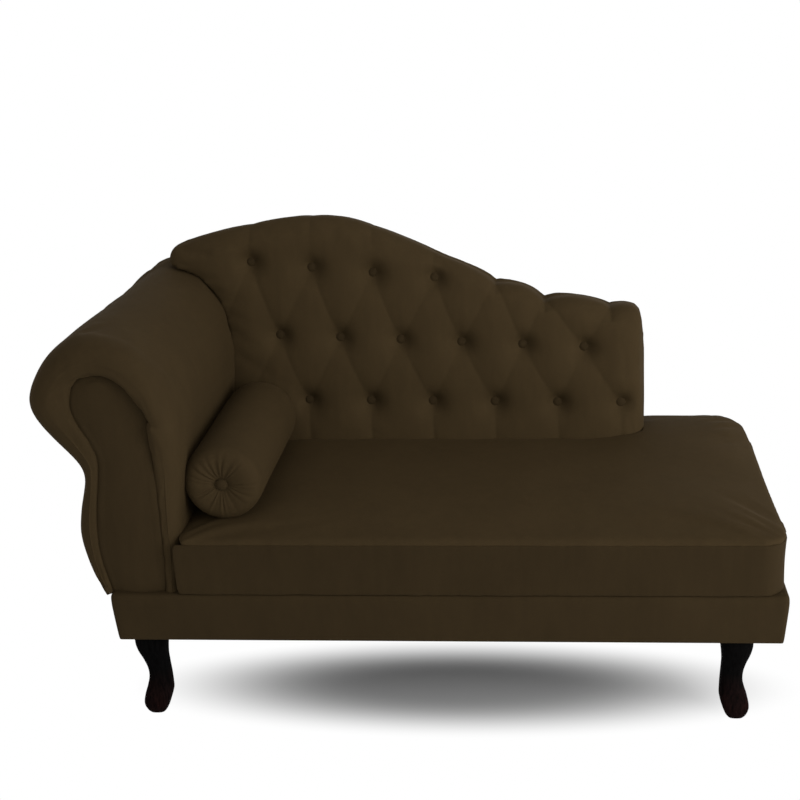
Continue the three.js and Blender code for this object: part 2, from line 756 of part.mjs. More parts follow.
// Depth of the cover between two pleats: share across the gap and the gap's part of a pitch
function tuftDepth(pleat, across, fullness) {
  const bulge = Math.sin(Math.PI * across) ** puffFullness * Math.min(1, 2 * fullness);
  return pleat + (-tuftPuff - pleat) * Math.max(bulge, 0);
}

function nodeDepth(node) {
  return node.button ? pitDepth : pleatDepth;
}

function pleatPoint(low, high, share) {
  const extra = (nodeDepth(low) - pleatDepth) * (1 - share) ** pitSharpness
    + (nodeDepth(high) - pleatDepth) * share ** pitSharpness;
  return {
    x: low.x + (high.x - low.x) * share,
    z: low.z + (high.z - low.z) * share,
    depth: pleatDepth + extra,
  };
}

// One level of the lattice as a row of points, from its pleats' places at that level
function levelPoints(pleats, pitch) {
  const points = [];
  pleats.forEach((pleat, i) => {
    points.push(pleat);
    if (i + 1 === pleats.length) {
      return;
    }
    const next = pleats[i + 1];
    for (let k = 1; k < tuftGapSteps; k += 1) {
      const across = k / tuftGapSteps;
      const edge = pleat.depth + (next.depth - pleat.depth) * across;
      points.push({
        x: pleat.x + (next.x - pleat.x) * across,
        z: pleat.z + (next.z - pleat.z) * across,
        depth: tuftDepth(edge, across, (next.x - pleat.x) / pitch),
      });
    }
  });
  return points.map(({ x, z, depth }) => new THREE.Vector3(x, backFront(z) + depth, z));
}

// Levels between two rows of tufts, where the pleats run zigzag from row to row
function diamondBand(upper, lower) {
  const pitch = upper[1].x - upper[0].x;
  return Array.from({ length: tuftBandSteps + 1 }, (_, step) => {
    const pleats = [];
    lower.forEach((low, k) => {
      pleats.push(pleatPoint(low, upper[k], step / tuftBandSteps));
      if (k + 1 < upper.length) {
        pleats.push(pleatPoint(low, upper[k + 1], step / tuftBandSteps));
      }
    });
    return levelPoints(pleats, pitch);
  });
}

// Levels from a row of tufts straight up or down to a height, where the pleats run out
function straightBand(row, endZ, steps) {
  const pitch = row[1].x - row[0].x;
  return Array.from({ length: steps + 1 }, (_, step) => {
    const share = step / steps;
    const pleats = row.map((node) => ({
      x: node.x,
      z: node.z + (endZ - node.z) * share,
      depth: pleatDepth * (1 - share / 2)
        + (nodeDepth(node) - pleatDepth) * (1 - share) ** pitSharpness,
    }));
    return levelPoints(pleats, pitch);
  });
}

function stripFaces(levels, points, faces) {
  const count = levels[0].length;
  for (let r = 0; r + 1 < levels.length; r += 1) {
    for (let i = 0; i + 1 < count; i += 1) {
      const corners = [levels[r][i], levels[r][i + 1], levels[r + 1][i + 1], levels[r + 1][i]];
      const at = points.length;
      points.push(...corners);
      faces.push(at, at + 1, at + 2, at, at + 2, at + 3);
    }
  }
}

// The tufted face is given a flat back and walls round its edge
function closeFace(points, faces, backY) {
  const loose = new THREE.BufferGeometry().setFromPoints(points);
  loose.setIndex(faces);
  const face = mergeVertices(loose, weldTolerance);
  const position = face.attributes.position;
  const count = position.count;
  const corners = Array.from({ length: count }, (_, i) => (
    new THREE.Vector3().fromBufferAttribute(position, i)
  ));
  corners.push(...corners.map((p) => new THREE.Vector3(p.x, backY, p.z)));
  const index = [];
  const edges = new Map();
  const source = face.index.array;
  for (let i = 0; i < source.length; i += 3) {
    const [a, b, c] = [source[i], source[i + 1], source[i + 2]];
    if (a !== b && b !== c && a !== c) {
      index.push(a, b, c, a + count, c + count, b + count);
      [[a, b], [b, c], [c, a]].forEach(([from, to]) => edges.set(`${from} ${to}`, [from, to]));
    }
  }
  edges.forEach(([from, to]) => {
    if (!edges.has(`${to} ${from}`)) {
      index.push(to, from, from + count, to, from + count, to + count);
    }
  });
  return closedGeometry(corners, index);
}

function tuftedSlab() {
  const [top, middle, low] = tuftRows;
  const points = [];
  const faces = [];
  const rising = straightBand(top, overallHeight + pitDepth + overrun, risingSteps);
  const falling = straightBand(low, seatEdgeHeight, fallingSteps).reverse();
  const hidden = [falling[0].map((p) => {
    const z = deckTop - overrun;
    return new THREE.Vector3(p.x, backFront(z), z);
  }), falling[0]];
  const bands = [hidden, falling, diamondBand(middle, low), diamondBand(top, middle), rising];
  bands.forEach((levels) => stripFaces(levels, points, faces));
  return toSolid(closeFace(points, faces, rear + overrun));
}

// The mould that rounds the front edges of the back
function backMould() {
  const rings = quarterRound(backEdgeRound, edgeSteps).map(({ inset, depth }) => (
    backRing(inset, depth - tuftPuff - gap)
  ));
  rings.push(backOutline(0, deckTop).map((p) => new THREE.Vector3(p.x, rear, p.y)));
  return toSolid(skin(rings, 'y'));
}

function addBackCover() {
  const outer = tuftedSlab().intersect(backMould());
  const footZ = deckTop - overrun;
  const rings = [backRing(backCoverWall, backCoverPadding, footZ)];
  rings.push(backOutline(backCoverWall, footZ).map((p) => new THREE.Vector3(p.x, rear + overrun, p.y)));
  const room = cut(toSolid(skin(rings, 'y')), armPrism(backCoverWall));
  place('back_cover', toGeometry(cut(outer, armPrism(gap), room)), fabric);
}

const foamDepth = backCoverPadding + gap;
const boardDepth = foamDepth + backFoamThickness + gap;
const postDepth = boardDepth + backBoardThickness + gap;

function addBackInside() {
  const inset = backCoverWall + gap;
  const clear = armPrism(backCoverWall + gap);
  const padding = cut(backSlab(inset, foamDepth, backFoamThickness), clear);
  place('back_foam', toGeometry(padding), foam);
  const board = cut(backSlab(inset, boardDepth, backBoardThickness), clear);
  place('back_board', toGeometry(board), frameWood);
  const outline = backOutline(inset, deckTop);
  const panel = toSolid(prismY(outline, rear - outsideCoverThickness, rear));
  place('back_outside_cover', toGeometry(cut(panel, clear)), fabric);
}

// Height of the back's top edge at a place along it
function backTopAt(x) {
  const share = (x - backLeft) / backWidth;
  const after = Math.max(backTopPoints.findIndex((p) => p.x > share), 1);
  const [before, next] = [backTopPoints[after - 1], backTopPoints[after]];
  return THREE.MathUtils.mapLinear(share, before.x, next.x, before.y, next.y);
}

// Posts behind the back board: wedges that carry its lean down to the back rail
function addBackPosts() {
  const backY = rear - outsideCoverThickness - gap;
  const clear = backCoverWall + gap + postThickness / 2;
  const [low, high] = [armInnerX + clear, backRight - clear];
  Object.entries(postShares).forEach(([name, share]) => {
    const x = low + (high - low) * share;
    const topZ = backTopAt(x) - postHeadroom;
    const outline = [
      [backFront(deckTop) + postDepth, deckTop], [backFront(topZ) + postDepth, topZ],
      [backY, topZ], [backY, deckTop],
    ].map(([y, z]) => new THREE.Vector2(y, z));
    const xs = [x - postThickness / 2, x + postThickness / 2];
    place(`back_post_${name}`, prismX(outline, ...xs), frameWood);
  });
}

// A covered button: a shallow cone sinks into the pit and a low dome shows
function tuftButton({ x, z }) {
  const outline = tuftButtonShares
    .map(([u, v]) => new THREE.Vector2(u * buttonRadius, v * buttonRadius));
  const button = new THREE.LatheGeometry(outline, buttonSides);
  button.rotateX(Math.PI);
  button.translate(x, backFront(z) + pitDepth - gap, z);
  return toGeometry(toSolid(button));
}

function addTuftButtons() {
  const names = ['top', 'middle', 'low'];
  tuftRows.forEach((row, i) => {
    row.filter((node) => node.button).forEach((node, k) => {
      place(`tuft_button_${names[i]}_${k + 1}`, tuftButton(node), fabric);
    });
  });
}

// Height of the seat's crown at a distance from the edge of its plan
function crownHeight(distance) {
  const after = crownLevels.findIndex(([, inset]) => inset > distance);
  const [z0, d0] = crownLevels[after - 1];
  const [z1, d1] = crownLevels[after];
  return z0 + ((z1 - z0) * (distance - d0)) / (d1 - d0);
}

// The bolster rests on the seat and against the arm
const bolsterZ = crownHeight(seatArmTuck + bolsterRadius) + gap + bolsterRadius;
const armInnerSide = armPoints.slice(armProfileSteps / 2);
const bolsterX = Math.max(...armInnerSide.slice(1).flatMap((end, i) => (
  Array.from({ length: contactSteps + 1 }, (_, k) => {
    const p = armInnerSide[i].clone().lerp(end, k / contactSteps);
    const rise = Math.min(Math.abs(p.y - bolsterZ), bolsterRadius);
    return p.x + Math.sqrt((bolsterRadius + gap) ** 2 - rise ** 2);
  })
)));
const bolsterYs = [
  front + bolsterFront, backFront(bolsterZ - bolsterRadius) - tuftPuff - bolsterBackGap,
];

function bolsterRings(shrink, sides, pleatHeight) {
  const ring = (y, radius, swell, outward) => Array.from({ length: sides }, (_, i) => {
    const angle = (i / sides) * 2 * Math.PI;
    const wave = swell * Math.cos(bolsterPleats * angle) * outward;
    return new THREE.Vector3(
      bolsterX + radius * Math.cos(angle), y + wave, bolsterZ + radius * Math.sin(angle),
    );
  });
  const ends = bolsterYs.map((endY, side) => {
    const inward = side === 0 ? 1 : -1;
    return bolsterEndShares.map(([back, wide, pleat]) => ring(
      endY + inward * (bolsterRadius * back + pleatHeight + shrink),
      bolsterRadius * wide - shrink * wide, pleatHeight * pleat, -inward,
    ));
  });
  const middle = (bolsterYs[0] + bolsterYs[1]) / 2;
  return [...ends[0], ring(middle, bolsterRadius - shrink, 0, 1), ...ends[1].reverse()];
}

function addBolster() {
  const sides = bolsterPleats * bolsterPleatSteps;
  const outer = toSolid(skin(bolsterRings(0, sides, bolsterPleatHeight), 'y'));
  const wall = bolsterCoverWall;
  const inner = toSolid(skin(bolsterRings(wall, bolsterFillingSides, bolsterPleatHeight), 'y'));
  const filling = bolsterRings(wall + gap, bolsterFillingSides, bolsterPleatHeight);
  const middle = (bolsterYs[0] + bolsterYs[1]) / 2;
  const half = ((bolsterYs[1] - bolsterYs[0]) * zipShare) / 2;
  // The zip lies along the foot of the side that faces the arm
  const turn = Math.PI / 4;
  const strip = (width, from, to, long) => {
    const box = block([from, to], [-long, long], [-width / 2, width / 2]);
    box.rotateY(Math.PI - turn);
    box.translate(bolsterX, middle, bolsterZ);
    return toSolid(box);
  };
  const slot = strip(zipWidth, bolsterRadius - overrun, bolsterRadius + overrun, half);
  place('bolster_cover', toGeometry(cut(outer, inner, slot)), fabric);
  place('bolster_filling', skin(filling, 'y'), foam);
  const zipReach = [bolsterRadius - wall, bolsterRadius - zipRecess];
  const zip = strip(zipWidth - 2 * gap, ...zipReach, half - gap);
  place('bolster_zip', toGeometry(zip), liningCloth);
  addBolsterButtons();
}

function addBolsterButtons() {
  const outline = bolsterButtonShares
    .map(([u, v]) => new THREE.Vector2(u * bolsterButtonRadius, v * bolsterButtonHeight));
  ['front', 'rear'].forEach((side, i) => {
    const inward = i === 0 ? 1 : -1;
    const floor = bolsterYs[i] + inward * (bolsterRadius * bolsterEndShares[0][0] + bolsterPleatHeight);
    const button = new THREE.LatheGeometry(outline, buttonSides);
    if (inward > 0) {
      button.rotateX(Math.PI);
    }
    button.translate(bolsterX, floor - inward * gap, bolsterZ);
    place(`bolster_button_${side}`, toGeometry(toSolid(button)), fabric);
  });
}

addBaseFrame();
addCornerBlocks();
addLegs();
addRailCovers();
addDustCover();
addWebbing();
addSeat();
addArmFrame();
addArmFoam();
addArmCovers();
addArmFacings();
addBackInside();
addBackPosts();
addBackCover();
addTuftButtons();
addBolster();

export default chaise;
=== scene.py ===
"""A one-armed chaise longue with a scrolled arm, a tufted half back and a loose bolster.

The construction model gives every place and size. This script dresses it: the padded covers are
shaped, inflated as cloth and creased, and everything gets its finish. Metres. X runs along the
length with the arm at the low end, Y from the front to the back and Z up from the floor.
"""

import math
from contextlib import contextmanager

import bmesh
import bpy
import numpy as np
from bpy.props import FloatProperty, FloatVectorProperty, IntProperty, PointerProperty
from mathutils import Matrix, Vector, noise


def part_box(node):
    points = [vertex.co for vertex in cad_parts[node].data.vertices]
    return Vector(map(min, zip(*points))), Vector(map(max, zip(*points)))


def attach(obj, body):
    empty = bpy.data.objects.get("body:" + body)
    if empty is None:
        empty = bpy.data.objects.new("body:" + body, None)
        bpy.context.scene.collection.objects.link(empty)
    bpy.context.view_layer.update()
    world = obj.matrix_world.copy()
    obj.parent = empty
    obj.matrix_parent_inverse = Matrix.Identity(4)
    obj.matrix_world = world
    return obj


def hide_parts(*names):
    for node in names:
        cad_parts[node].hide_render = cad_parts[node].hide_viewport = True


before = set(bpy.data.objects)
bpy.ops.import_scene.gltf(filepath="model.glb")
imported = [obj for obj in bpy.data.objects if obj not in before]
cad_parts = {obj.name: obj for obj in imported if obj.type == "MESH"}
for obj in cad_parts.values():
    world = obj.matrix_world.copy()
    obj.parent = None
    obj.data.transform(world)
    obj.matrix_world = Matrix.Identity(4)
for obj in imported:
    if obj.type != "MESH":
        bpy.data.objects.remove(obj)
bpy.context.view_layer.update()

bl_info = {
    "name": "Tufted chaise longue",
    "version": (1, 0, 0),
    "blender": (4, 5, 0),
    "location": "3D View > Sidebar > Chaise",
    "description": "Upholsters a chaise longue over its construction model",
    "category": "Add Mesh",
}

MM = 0.001

# Bodies of the construction model
FRAME_BODY = "frame"
BOLSTER_BODY = "bolster"

# Places of the carcase, from the construction model
BASE_LOW, BASE_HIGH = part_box("front_rail_cover")
FRONT = BASE_LOW.y
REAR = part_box("back_rail_cover")[1].y
LEFT, RIGHT = BASE_LOW.x, BASE_HIGH.x
BASE_FOOT, BASE_TOP = BASE_LOW.z, BASE_HIGH.z
SEAT_LOW, SEAT_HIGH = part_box("seat_cover")
ARM_LOW, ARM_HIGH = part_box("arm_cover")
FACING_LOW, FACING_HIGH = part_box("arm_front_facing")
BACK_LOW, BACK_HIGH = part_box("back_cover")
BOLSTER_LOW, BOLSTER_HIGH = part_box("bolster_cover")
DECK = SEAT_LOW.z
ARM_WIDTH = ARM_HIGH.x - ARM_LOW.x
ARM_RISE = ARM_HIGH.z - DECK
ARM_MIDDLE = ARM_LOW.x + ARM_WIDTH / 2
BACK_RIGHT = BACK_HIGH.x
BUTTON_ROWS = [
    [f"tuft_button_{row}_{i + 1}" for i in range(count)]
    for row, count in (("top", 4), ("middle", 6), ("low", 6))
]
TOP_ROW, MIDDLE_ROW, LOW_ROW = [
    [(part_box(node)[0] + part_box(node)[1]) / 2 for node in nodes] for nodes in BUTTON_ROWS
]
LEG_NAMES = ("front_left", "front_right", "rear_left", "rear_right")

# Section of the arm from the foot of its outer side, over the roll, to the foot of its inner
# side, as shares of the arm's width and of its height above the deck
NECK_SHARE = 0.446
ARM_SHARES = (
    (0.375, 0), (0.287, 0.05), (0.221, 0.2), (0.239, 0.303), (0.279, 0.386), (0.301, NECK_SHARE),
    (0.268, 0.505), (0.119, 0.612), (0.032, 0.69), (0, 0.76), (0.048, 0.84), (0.17, 0.93),
    (0.351, 0.99), (0.543, 1), (0.755, 0.96), (0.91, 0.868), (0.978, 0.76), (1, 0.65),
    (0.992, 0.533), (0.963, 0.409), (0.936, 0.29), (0.926, 0.19), (0.922, 0),
)

# Outline of the arm's front facing, in the same shares and the same order
FACING_SHARES = (
    (0.412, -0.006), (0.37, 0.12), (0.362, 0.22), (0.385, 0.34), (0.418, 0.44), (0.44, 0.535),
    (0.4, 0.603), (0.337, 0.667), (0.293, 0.73), (0.29, 0.78), (0.325, 0.83), (0.404, 0.862),
    (0.53, 0.869), (0.648, 0.847), (0.742, 0.79), (0.806, 0.735), (0.822, 0.67), (0.824, 0.45),
    (0.82, 0.145), (0.806, -0.006),
)

# Top edge of the back from its left end, as shares of its width and of its height above the
# edge of the seat
BACK_TOP_SHARES = (
    (0, 0.79), (0.003, 0.838), (0.018, 0.874), (0.114, 0.941), (0.25, 0.994), (0.345, 1),
    (0.42, 0.968), (0.55, 0.857), (0.69, 0.72), (0.75, 0.687), (0.8, 0.643), (0.86, 0.636),
    (0.93, 0.608), (0.965, 0.602), (0.987, 0.586), (0.998, 0.55), (1, 0.5),
)

# Cabriole leg from the floor up: shares of its height, its width and its foot's reach
LEG_SHARES = (
    (0, 0.5, 1), (0.04, 0.66, 1), (0.12, 0.82, 0.9), (0.22, 0.86, 0.3), (0.31, 0.78, -0.1),
    (0.42, 0.69, -0.4), (0.54, 0.68, -0.3), (0.67, 0.76, 0.1), (0.79, 0.9, 0.45), (0.9, 1, 0.5),
    (1, 1, 0.35),
)

# Section of an upholstered rail: shares of how far it stands out and of its height, with the
# foot drawn in
RAIL_SHARES = (
    (0, 0, 0), (0.85, 0.004, 1), (1, 0.03, 0.98), (1, 0.2, 0.75), (1, 0.45, 0.4), (1, 0.72, 0.05),
    (1, 0.86, 0), (0.93, 0.93, 0), (0.8, 0.972, 0), (0.5, 0.999, 0), (0.2, 1.003, 0),
    (-1, 1.003, 0), (-2.8, 1.003, 0), (-3, 1.003, 0),
)

# Bolster's end from the button's seat out: shares of the radius, for the distance behind the
# end's foremost plane and the ring's radius
BOLSTER_END_SHARES = (
    (0.15, 0.0), (0.145, 0.1), (0.12, 0.17), (0.045, 0.34), (0.005, 0.58), (0.03, 0.78),
    (0.14, 0.93), (0.3, 0.985), (0.5, 1.0),
)

# Fold where the roll's lip meets the inner band of the arm: its two ends, as shares of the
# arm's width and of its height above the deck
TUCK_SHARES = ((0.825, 0.69), (0.985, 0.675))

# Notches in the back's top edge: shares of its width, and their depth
TOP_NOTCHES = ((0.691, 9 * MM), (0.793, 13 * MM), (0.93, 9 * MM))

# The arm: its front face, the points round its section, how far the roll draws in towards the
# rear, how far the lip laps the facing and how thick the padded cover is
ARM_FRONT = ARM_LOW.y
ARM_POINTS = 132
ARM_TAPER = 28 * MM
LIP_LAP = 1 * MM
PAD_WALL = 6 * MM

# The seat: its corners in plan, the rounding of its edge, the puff of its free end, how much
# shorter that end is at the rear, and the spacing of the border's rings; the padding at both ends
# of the base is the same as the seat's
SEAT_EDGE = 453 * MM
SEAT_CORNER = 50 * MM
SEAT_REAR_CORNER = 78 * MM
SEAT_ARM_CORNER = 10 * MM
SEAT_ROUND = 22 * MM
SEAT_PUFF = 13 * MM
SEAT_TAPER = 13 * MM
BORDER_STEP = 9 * MM
END_PAD = 7 * MM

# The back: its depth at the seat and at the top, its puff, and how its top edge is rounded and
# falls towards the rear
BACK_SHOULDER = BACK_LOW.x
BACK_FOOT_DEPTH = 180 * MM
BACK_TOP_DEPTH = 85 * MM
BACK_PUFF = 5.3 * MM
BACK_ROUND = 34 * MM
BACK_FALL = 26 * MM

# The legs: width of the shoulder, reach of the foot and squareness of the section
LEG_WIDTH = 70 * MM
LEG_REACH = 11 * MM
LEG_POWER = 2 / 3
LEG_SIDES = 28

# The bolster: points round it, and its covered buttons
BOLSTER_SIDES = 132
BOLSTER_BUTTON = (13 * MM, 6 * MM)

# The covers as cloth: steps for which they are blown up, and how the velvet resists
CLOTH_FRAMES = 20
CLOTH = {
    "quality": 5, "mass": 0.3, "tension_stiffness": 20, "compression_stiffness": 20,
    "shear_stiffness": 8, "bending_stiffness": 0.6, "use_pressure": True,
    "vertex_group_mass": "held",
}

# Size of a cover's faces before it is blown up, and of a firm panel's
COVER_FACES = 8 * MM
PANEL_FACES = 3.5 * MM

# How light each cover's velvet is painted against the colour chosen, as painted light and shade for
# that cover, and how its nap is turned
PAINTED_SHADE_AND_NAPS = {
    "arm": (0.97, 0.3), "facing": (0.8, 0), "seat": (1, 0), "border": (0.73, 0), "rail": (0.78, 0),
    "back": (1.1, 0.2), "outside": (0.96, 0), "bolster": (0.95, 0), "button": (0.8, 0),
}

# The view's place and turns, and its lens in points of a square picture; then the light round
# the piece and half the floor's side
CAMERA_PLACE = (0.298, -2.738, 1.667)
CAMERA_PITCH = math.radians(20.712)
CAMERA_YAW = math.radians(4.28)
CAMERA_ROLL = math.radians(-1.899)
PHOTO_SIDE = 800
FOCAL_PIXELS = 1300.7
PRINCIPAL_COLUMN = 463.7
SENSOR = 36
WORLD_STRENGTH = 0.58
FLOOR_HALF = 9.0

# Lamps: name, place, target, size of the disc in metres and power in watts
LAMPS = (
    ("key_light", (-0.8, -2.9, 2.8), (0, 0, 0.5), 2.4, 19),
    ("fill_light", (2.9, -1.9, 1.5), (-0.4, 0, 0.6), 2.4, 118),
    ("rear_light", (0.3, 3.4, 1.8), (0, 0, 0.4), 2.6, 10),
)

# Where the painted shadow lies on the floor: its middle and its half length and half depth
SHADOW_MIDDLE = (0.08, -0.188)
SHADOW_REACH = (0.98, 0.26)


class ChaiseForm(bpy.types.PropertyGroup):
    """Sizes of the upholstery that a user would change."""

    seat_crown: FloatProperty(
        name="Seat crown", description="Rise of the seat's middle over its edge",
        default=13 * MM, min=0, max=60 * MM, unit="LENGTH", subtype="DISTANCE")
    seat_edge: FloatProperty(
        name="Seat edge", description="Height of the seat's rounded edge above the floor",
        default=SEAT_EDGE, min=350 * MM, max=600 * MM, unit="LENGTH", subtype="DISTANCE")
    seat_seam: FloatProperty(
        name="Seat seam", description="Height of the seam between the border and the top panel",
        default=435 * MM, min=330 * MM, max=590 * MM, unit="LENGTH", subtype="DISTANCE")
    lip_round: FloatProperty(
        name="Arm lip", description="Roundness of the padding over the arm's front edge",
        default=38 * MM, min=5 * MM, max=60 * MM, unit="LENGTH", subtype="DISTANCE")
    lip_forward: FloatProperty(
        name="Arm lip overhang", description="How far the roll's padding stands over the facing",
        default=20 * MM, min=0, max=30 * MM, unit="LENGTH", subtype="DISTANCE")
    pit_depth: FloatProperty(
        name="Tuft depth", description="Depth of the tufts' pits behind the puffs",
        default=29 * MM, min=0, max=60 * MM, unit="LENGTH", subtype="DISTANCE")
    pleat_depth: FloatProperty(
        name="Pleat depth", description="Depth of the pleats between the tufts",
        default=5.5 * MM, min=0, max=40 * MM, unit="LENGTH", subtype="DISTANCE")
    button_radius: FloatProperty(
        name="Button radius", description="Radius of the covered buttons in the back",
        default=12 * MM, min=5 * MM, max=30 * MM, unit="LENGTH", subtype="DISTANCE")
    gathers: IntProperty(
        name="Bolster gathers", description="Folds gathered round each end of the bolster",
        default=23, min=8, max=48)
    welt_radius: FloatProperty(
        name="Welt radius", description="Radius of the piping round the outside panels",
        default=3 * MM, min=1 * MM, max=8 * MM, unit="LENGTH", subtype="DISTANCE")


class ChaiseFinish(bpy.types.PropertyGroup):
    """Colours that a user would change, as linear values."""

    velvet: FloatVectorProperty(
        name="Velvet", description="Colour of the brushed velvet",
        default=(0.0385, 0.0255, 0.0114), min=0, max=1, size=3, subtype="COLOR")
    leg: FloatVectorProperty(
        name="Leg stain", description="Colour of the stained legs",
        default=(0.0026, 0.0024, 0.0024), min=0, max=1, size=3, subtype="COLOR")
    timber: FloatVectorProperty(
        name="Frame timber", description="Colour of the raw frame",
        default=(0.45, 0.28, 0.14), min=0, max=1, size=3, subtype="COLOR")
    lining: FloatVectorProperty(
        name="Lining", description="Colour of the lining cloth under the base",
        default=(0.012, 0.012, 0.012), min=0, max=1, size=3, subtype="COLOR")
    floor: FloatVectorProperty(
        name="Floor", description="Colour of the pale floor",
        default=(0.86, 0.86, 0.86), min=0, max=1, size=3, subtype="COLOR")


# Nodes: arithmetic on a socket adds the Math nodes that work it out

class Socket:
    """An output of a node that takes part in Python expressions."""

    def __init__(self, graph, output):
        self.graph = graph
        self.output = output

    def math(self, operation, *others):
        """A Math node that works on this output and on others."""
        values = dict(enumerate((self, *others)))
        return self.graph.node("ShaderNodeMath", {"operation": operation}, values)

    def __add__(self, other):
        return self.math("ADD", other)

    def __sub__(self, other):
        return self.math("SUBTRACT", other)

    def __rsub__(self, other):
        return self.graph.node("ShaderNodeMath", {"operation": "SUBTRACT"}, {0: other, 1: self})

    def __mul__(self, other):
        return self.math("MULTIPLY", other)

    __radd__ = __add__
    __rmul__ = __mul__


class Graph:
    """A node tree whose nodes are made one call at a time."""

    def __init__(self, tree):
        self.tree = tree
        tree.nodes.clear()

    def node(self, kind, settings=None, values=None, output=0):
        """A node with its settings, then its sockets' values or links; gives one output."""
        made = self.tree.nodes.new(kind)
        for name, value in (settings or {}).items():
            if name == "stops":
                ramp = made.color_ramp.elements
                while len(ramp) < len(value):
                    ramp.new(1)
                for element, (position, shade) in zip(ramp, value):
                    element.position = position
                    element.color = (shade, shade, shade, 1)
            else:
                setattr(made, name, value)
        for name, value in (values or {}).items():
            if isinstance(value, Socket):
                self.tree.links.new(value.output, made.inputs[name])
            else:
                made.inputs[name].default_value = value
        return Socket(self, made.outputs[output]) if made.outputs else None


class Shader(Graph):
    """The nodes of a new material."""

    def __init__(self, name):
        self.material = bpy.data.materials.new(name)
        self.material.use_nodes = True
        super().__init__(self.material.node_tree)

    def place(self, scale=(1, 1, 1), turn=(0, 0, 0)):
        """Object coordinates, stretched and turned."""
        where = self.node("ShaderNodeTexCoord", output="Object")
        return self.node("ShaderNodeMapping", {}, {"Vector": where, "Scale": scale, "Rotation": turn})

    def noise(self, place, scale, detail=3.0, roughness=0.5):
        return self.node("ShaderNodeTexNoise", {}, {
            "Vector": place, "Scale": scale, "Detail": detail, "Roughness": roughness})

    def ramp(self, value, *stops):
        return self.node("ShaderNodeValToRGB", {"stops": stops}, {"Fac": value})

    def mix(self, share, first, second):
        values = {0: share, 6: first, 7: second}
        return self.node("ShaderNodeMix", {"data_type": "RGBA"}, values, output=2)

    def bump(self, height, distance, strength=1.0, normal=None):
        values = {"Height": height, "Distance": distance, "Strength": strength}
        if normal is not None:
            values["Normal"] = normal
        return self.node("ShaderNodeBump", {}, values)

    def finish(self, values):
        surface = self.node("ShaderNodeBsdfPrincipled", {}, values)
        self.node("ShaderNodeOutputMaterial", {}, {"Surface": surface})
        return self.material


def rgba(colour, share=1.0):
    """A colour made lighter or darker, with full cover."""
    return (*(min(1.0, c * share) for c in colour), 1.0)


def velvet_material(cover, colour):
    """Brushed velvet: soft nap patches, fine pile and a faint sheen, with light and shade painted in
    as a lighter or darker colour for each cover.
    """
    # The share is painted light and shade: this cover's velvet is made lighter or darker than the
    # colour chosen
    share, nap_turn = PAINTED_SHADE_AND_NAPS[cover]
    shader = Shader(f"{cover}_velvet")
    drift = shader.place(turn=(0, nap_turn, 0), scale=(1, 1, 0.55))
    patches = shader.noise(drift, 7, detail=4, roughness=0.55)
    strokes = shader.noise(shader.place(scale=(1, 1, 0.2), turn=(0, nap_turn, 0.4)), 60, detail=3)
    pile = shader.noise(shader.place(), 1500, detail=2, roughness=0.6)
    nap = shader.ramp(patches * 0.6 + strokes * 0.4, (0.32, 0), (0.68, 1))
    worn = shader.mix(nap, rgba(colour, 0.84 * share), rgba(colour, 1.14 * share))
    dark = rgba(colour, 0.7 * share)
    shade = shader.mix(shader.ramp(pile, (0.35, 0), (0.65, 1)), dark, worn)
    relief = shader.bump(pile, 0.35 * MM, 0.55)
    rumple = shader.bump(shader.noise(shader.place(), 45, detail=5), 1.2 * MM, 0.35, relief)
    return shader.finish({
        "Base Color": shade, "Roughness": 0.78 + 0.14 * pile, "Normal": rumple,
        "Sheen Weight": 0.08, "Sheen Roughness": 0.5, "Sheen Tint": rgba(colour, 6),
        "Specular IOR Level": 0.03})


def leg_material(colour):
    """Near-black stain over close grain, under a satin lacquer, with a reddish sheen painted in
    towards the foot.
    """
    shader = Shader("stained_leg_wood")
    grain = shader.noise(shader.place(scale=(1, 1, 0.08)), 240, detail=5, roughness=0.65)
    figure = shader.noise(shader.place(scale=(1, 1, 0.25)), 34, detail=3)
    height = shader.node("ShaderNodeSeparateXYZ", {}, {0: shader.place()}, output="Z")
    # Painted sheen: the colour turns reddish towards the foot, in patches that follow the figure
    low = shader.node("ShaderNodeMapRange", {"clamp": True}, {
        "Value": height, "From Min": 0.11, "From Max": 0.03, "To Min": 0, "To Max": 1})
    painted_foot_sheen = shader.mix(low * figure, rgba(colour), (0.014, 0.005, 0.0042, 1))
    shade = shader.mix(shader.ramp(grain, (0.42, 0), (0.7, 1)), painted_foot_sheen, rgba(colour, 0.45))
    relief = shader.bump(grain, 0.12 * MM, 0.5)
    return shader.finish({
        "Base Color": shade, "Roughness": 0.46 + 0.16 * figure, "Normal": relief,
        "Specular IOR Level": 0.004})


def timber_material(colour):
    """Sawn softwood: growth rings as stretched noise, with darker latewood."""
    shader = Shader("raw_timber")
    place = shader.place(scale=(0.12, 0.9, 1))
    rings = shader.node("ShaderNodeTexWave", {"wave_type": "BANDS", "bands_direction": "Z"}, {
        "Vector": place, "Scale": 26, "Distortion": 6, "Detail": 3})
    fibres = shader.noise(shader.place(scale=(0.05, 1, 1)), 600, detail=4)
    shade = shader.mix(rings * 0.7, rgba(colour), rgba(colour, 0.62))
    return shader.finish({
        "Base Color": shader.mix(fibres * 0.4, shade, rgba(colour, 0.5)),
        "Roughness": 0.62 + 0.2 * fibres, "Normal": shader.bump(fibres, 0.3 * MM, 0.6)})


def foam_material():
    """Open-cell foam with its small pores."""
    shader = Shader("seat_foam")
    cells = shader.node("ShaderNodeTexVoronoi", {}, {"Vector": shader.place(), "Scale": 520})
    tone = shader.noise(shader.place(), 9)
    shade = shader.mix(tone, (0.62, 0.55, 0.33, 1), (0.74, 0.68, 0.46, 1))
    return shader.finish({
        "Base Color": shade, "Roughness": 0.9 + 0.08 * cells, "Normal": shader.bump(cells, 0.5 * MM)})


